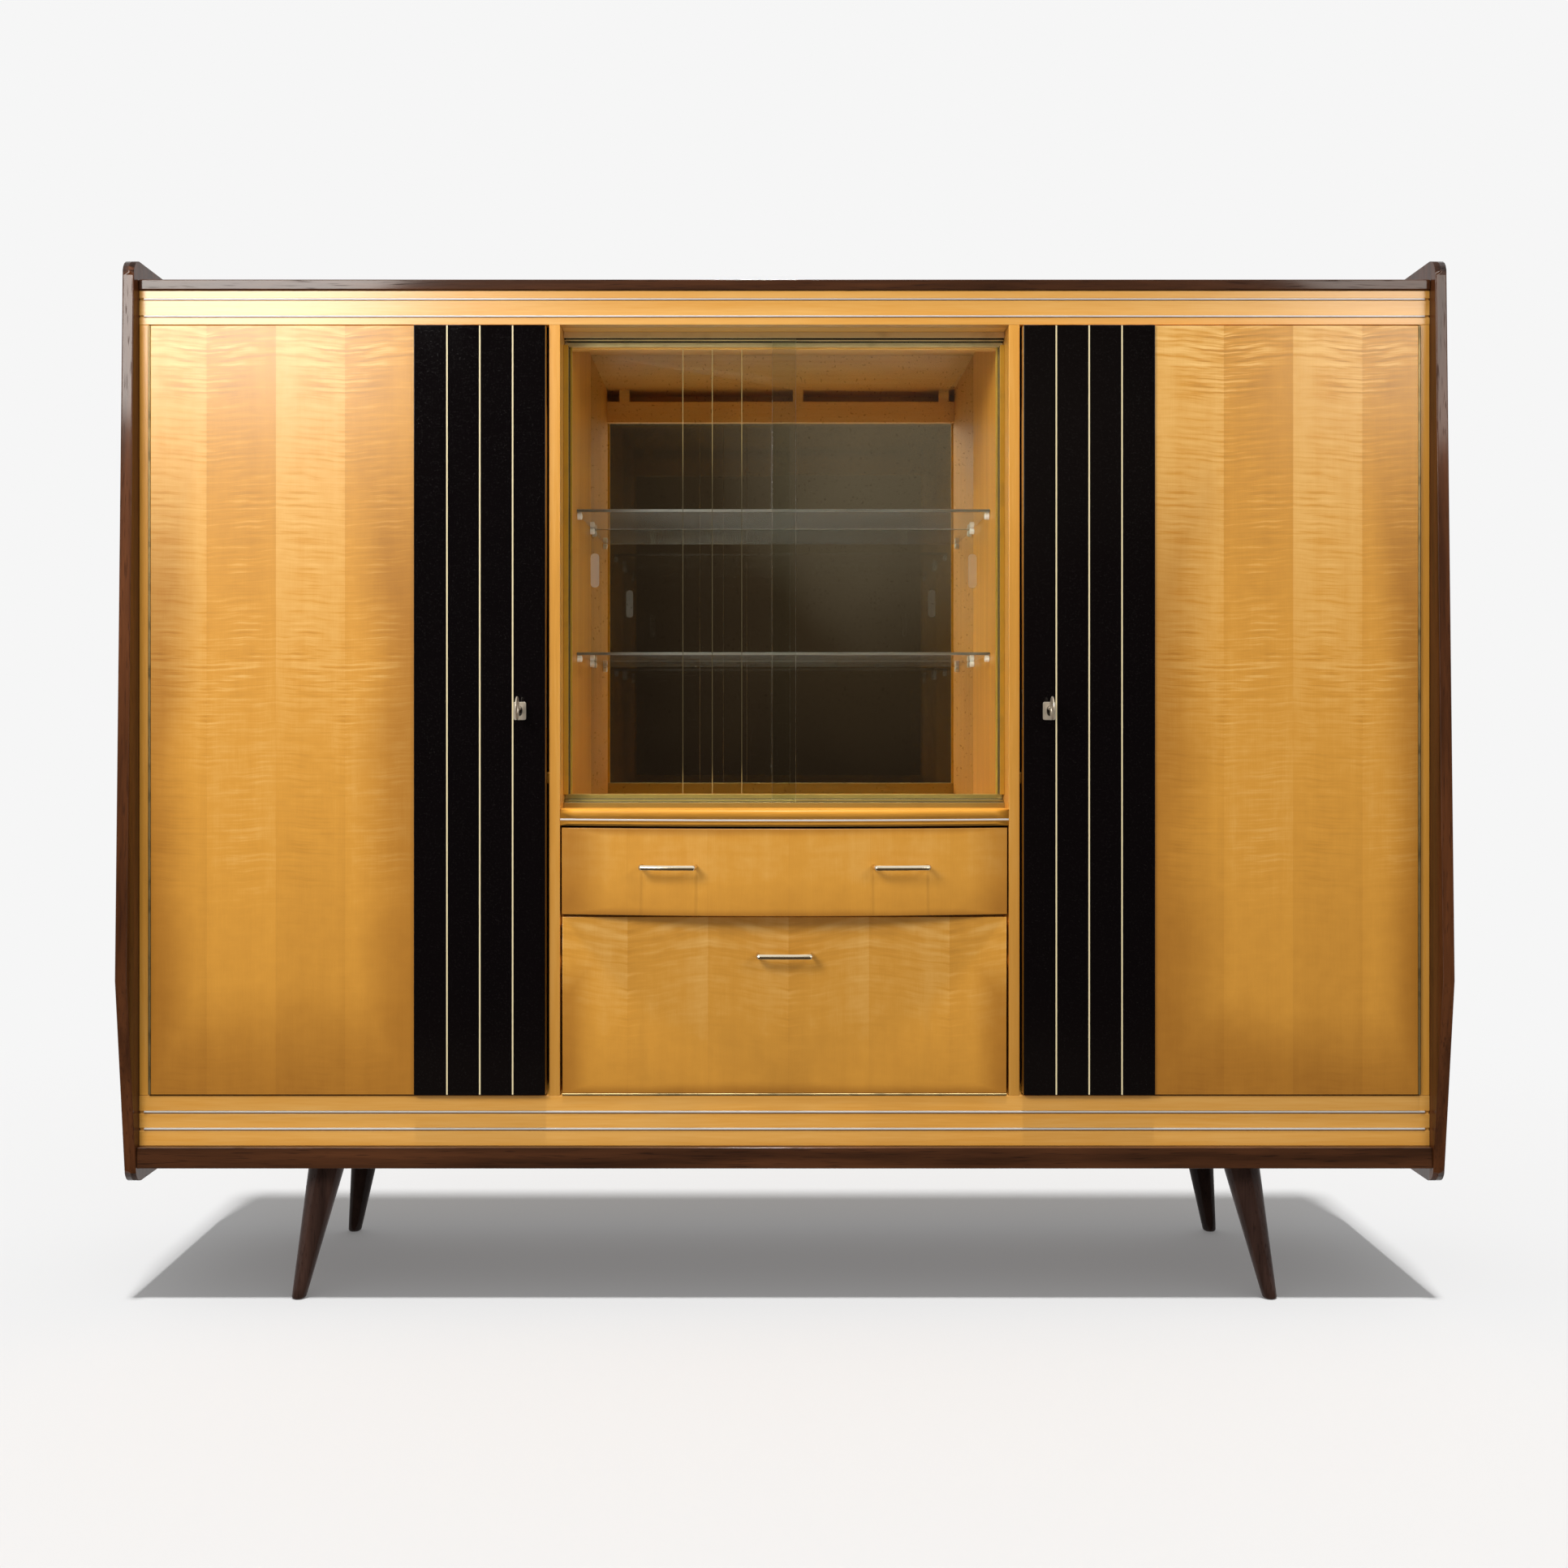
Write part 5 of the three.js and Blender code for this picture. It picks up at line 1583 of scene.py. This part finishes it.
def room_finish(name):
    """The dim room that mirror, black glass and lacquer show: a paler patch in dark brown."""
    f = Finish(name)
    x, y, z = f.place()
    cloud = f.noise(x * 0.8, y * 0.8, z * 0.8, 2.0)
    across = (x - 0.9) / 2.0
    up = (z - 2.7) / 1.9
    patch = (across * across + up * up).math("SQRT").fit(1.3, 0.0)
    ground = z.fit(-0.2, -0.9) * 0.75
    tone = f.ramp(
        patch.math("MAXIMUM", ground) * 0.75 + (cloud - 0.5) * 0.5,
        (0.0, (0.016, 0.010, 0.006)), (0.35, (0.040, 0.026, 0.014)), (1.0, (0.19, 0.15, 0.10)),
    )
    glow = f.node("ShaderNodeEmission", None, {"Color": tone, "Strength": 1.0})
    return f.done(glow.outputs[0])


def world_light(bright):
    """Soft light all round; the camera, metal and glass see the white backdrop instead."""
    world = bpy.data.worlds.new("studio")
    bpy.context.scene.world = world
    world.use_nodes = True
    t = Tree(world.node_tree)
    soft = t.node("ShaderNodeBackground", None, {"Color": (1.0, 1.0, 1.0), "Strength": WORLD_LEVEL})
    white = t.node("ShaderNodeBackground", None, {"Color": (bright,) * 3, "Strength": 1.0})
    path = t.node("ShaderNodeLightPath")
    seen = Wire(t, path.outputs["Is Camera Ray"])
    for name in ("Is Glossy Ray", "Is Transmission Ray"):
        seen = seen.math("MAXIMUM", path.outputs[name])
    mixed = t.node("ShaderNodeMixShader", None, {0: seen, 1: soft.outputs[0], 2: white.outputs[0]})
    output = t.node("ShaderNodeOutputWorld")
    t.tree.links.new(mixed.outputs[0], output.inputs[0])


class CABINET_OT_stage(bpy.types.Operator):
    """Camera, floor, backdrop, lamps and the dim room behind the camera"""
    bl_idname = "cabinet.stage"
    bl_label = "Stage"
    bl_options = {"REGISTER", "UNDO"}

    def execute(self, context):
        stage = context.scene.cabinet_stage
        self.camera(context, stage)
        world_light(stage.backdrop)
        reach = FLOOR_REACH
        floor = mesh_of_faces("floor", [[(-reach, -reach, 0), (reach, -reach, 0),
                                         (reach, reach, 0), (-reach, reach, 0)]])
        floor.data.materials.append(floor_finish("floor_paper", stage.backdrop))
        floor.visible_glossy = False
        floor.visible_diffuse = False
        room = mesh_of_faces("room", [
            [(-ROOM_HALF, ROOM_FAR, ROOM_LOW), (ROOM_HALF, ROOM_FAR, ROOM_LOW),
             (ROOM_HALF, ROOM_FAR, ROOM_HIGH), (-ROOM_HALF, ROOM_FAR, ROOM_HIGH)],
            [(-ROOM_HALF, ROOM_NEAR, ROOM_LOW), (ROOM_HALF, ROOM_NEAR, ROOM_LOW),
             (ROOM_HALF, ROOM_FAR, ROOM_LOW), (-ROOM_HALF, ROOM_FAR, ROOM_LOW)],
        ])
        room.data.materials.append(room_finish("dim_room"))
        for ray in ("camera", "diffuse", "shadow"):
            setattr(room, "visible_" + ray, False)
        front_lamps = [lamp(name, *values) for name, values in LAMPS.items()]
        self.sun()
        self.keep_off_floor(floor, *front_lamps)
        return {"FINISHED"}

    def sun(self):
        """High light from a little before the cabinet: it casts the shadow under the case."""
        data = bpy.data.lights.new("high_light", "SUN")
        floor_part = FLOOR_LEVEL - FLOOR_GLOW - FLOOR_TONE * WORLD_LEVEL
        data.energy = floor_part * math.pi / (FLOOR_TONE * math.cos(SUN_TILT))
        data.angle = SUN_WIDTH
        made = bpy.data.objects.new("high_light", data)
        made.rotation_euler = (SUN_TILT, 0, 0)
        bpy.context.scene.collection.objects.link(made)

    def camera(self, context, stage):
        data = bpy.data.cameras.new("photo_camera")
        data.sensor_width = SENSOR
        data.lens = SENSOR * FOCAL_LENGTH / FRAME_SIDE
        data.shift_x = 0.5 - AHEAD_X / FRAME_SIDE
        data.shift_y = AHEAD_Y / FRAME_SIDE - 0.5
        made = bpy.data.objects.new("photo_camera", data)
        made.location = (stage.camera_x, CASE_FRONT - stage.camera_distance, stage.camera_height)
        made.rotation_euler = (math.pi / 2, 0, 0)
        context.scene.collection.objects.link(made)
        context.scene.camera = made

    def keep_off_floor(self, floor, *lamps):
        """The front lamps light the cabinet alone, so its shadow is the one cast from above."""
        lit = bpy.data.collections.new("lit_from_above")
        lit.objects.link(floor)
        for made in lamps:
            made.light_linking.receiver_collection = lit
        for entry in lit.collection_objects:
            entry.light_linking.link_state = "EXCLUDE"


class CABINET_PT_pieces(bpy.types.Panel):
    """Lists the pieces of the cabinet"""
    bl_idname = "CABINET_PT_pieces"
    bl_label = "Bar cabinet"
    bl_space_type = "VIEW_3D"
    bl_region_type = "UI"
    bl_category = "Cabinet"

    def draw(self, context):
        for step in STEPS:
            self.layout.operator(step.bl_idname)
        for group in ("cabinet_sizes", "cabinet_colours", "cabinet_stage"):
            values = getattr(context.scene, group)
            for name in values.__annotations__:
                self.layout.prop(values, name)


STEPS = (
    CABINET_OT_stage, CABINET_OT_case, CABINET_OT_back, CABINET_OT_legs, CABINET_OT_doors,
    CABINET_OT_hinges, CABINET_OT_locks, CABINET_OT_showcase, CABINET_OT_bar, CABINET_OT_handles,
)
GROUPS = (CabinetSizes, CabinetColours, CabinetStage)


def register():
    for group in GROUPS + STEPS + (CABINET_PT_pieces,):
        bpy.utils.register_class(group)
    bpy.types.Scene.cabinet_sizes = bpy.props.PointerProperty(type=CabinetSizes)
    bpy.types.Scene.cabinet_colours = bpy.props.PointerProperty(type=CabinetColours)
    bpy.types.Scene.cabinet_stage = bpy.props.PointerProperty(type=CabinetStage)


def unregister():
    del bpy.types.Scene.cabinet_stage
    del bpy.types.Scene.cabinet_colours
    del bpy.types.Scene.cabinet_sizes
    for group in reversed(GROUPS + STEPS + (CABINET_PT_pieces,)):
        bpy.utils.unregister_class(group)


def main():
    register()
    bpy.context.scene.view_settings.view_transform = "Standard"
    bpy.ops.cabinet.stage()
    bpy.ops.cabinet.case()
    bpy.ops.cabinet.back()
    bpy.ops.cabinet.legs()
    bpy.ops.cabinet.doors()
    bpy.ops.cabinet.hinges()
    bpy.ops.cabinet.locks()
    bpy.ops.cabinet.showcase()
    bpy.ops.cabinet.bar()
    bpy.ops.cabinet.handles()


if __name__ == "__main__":
    main()
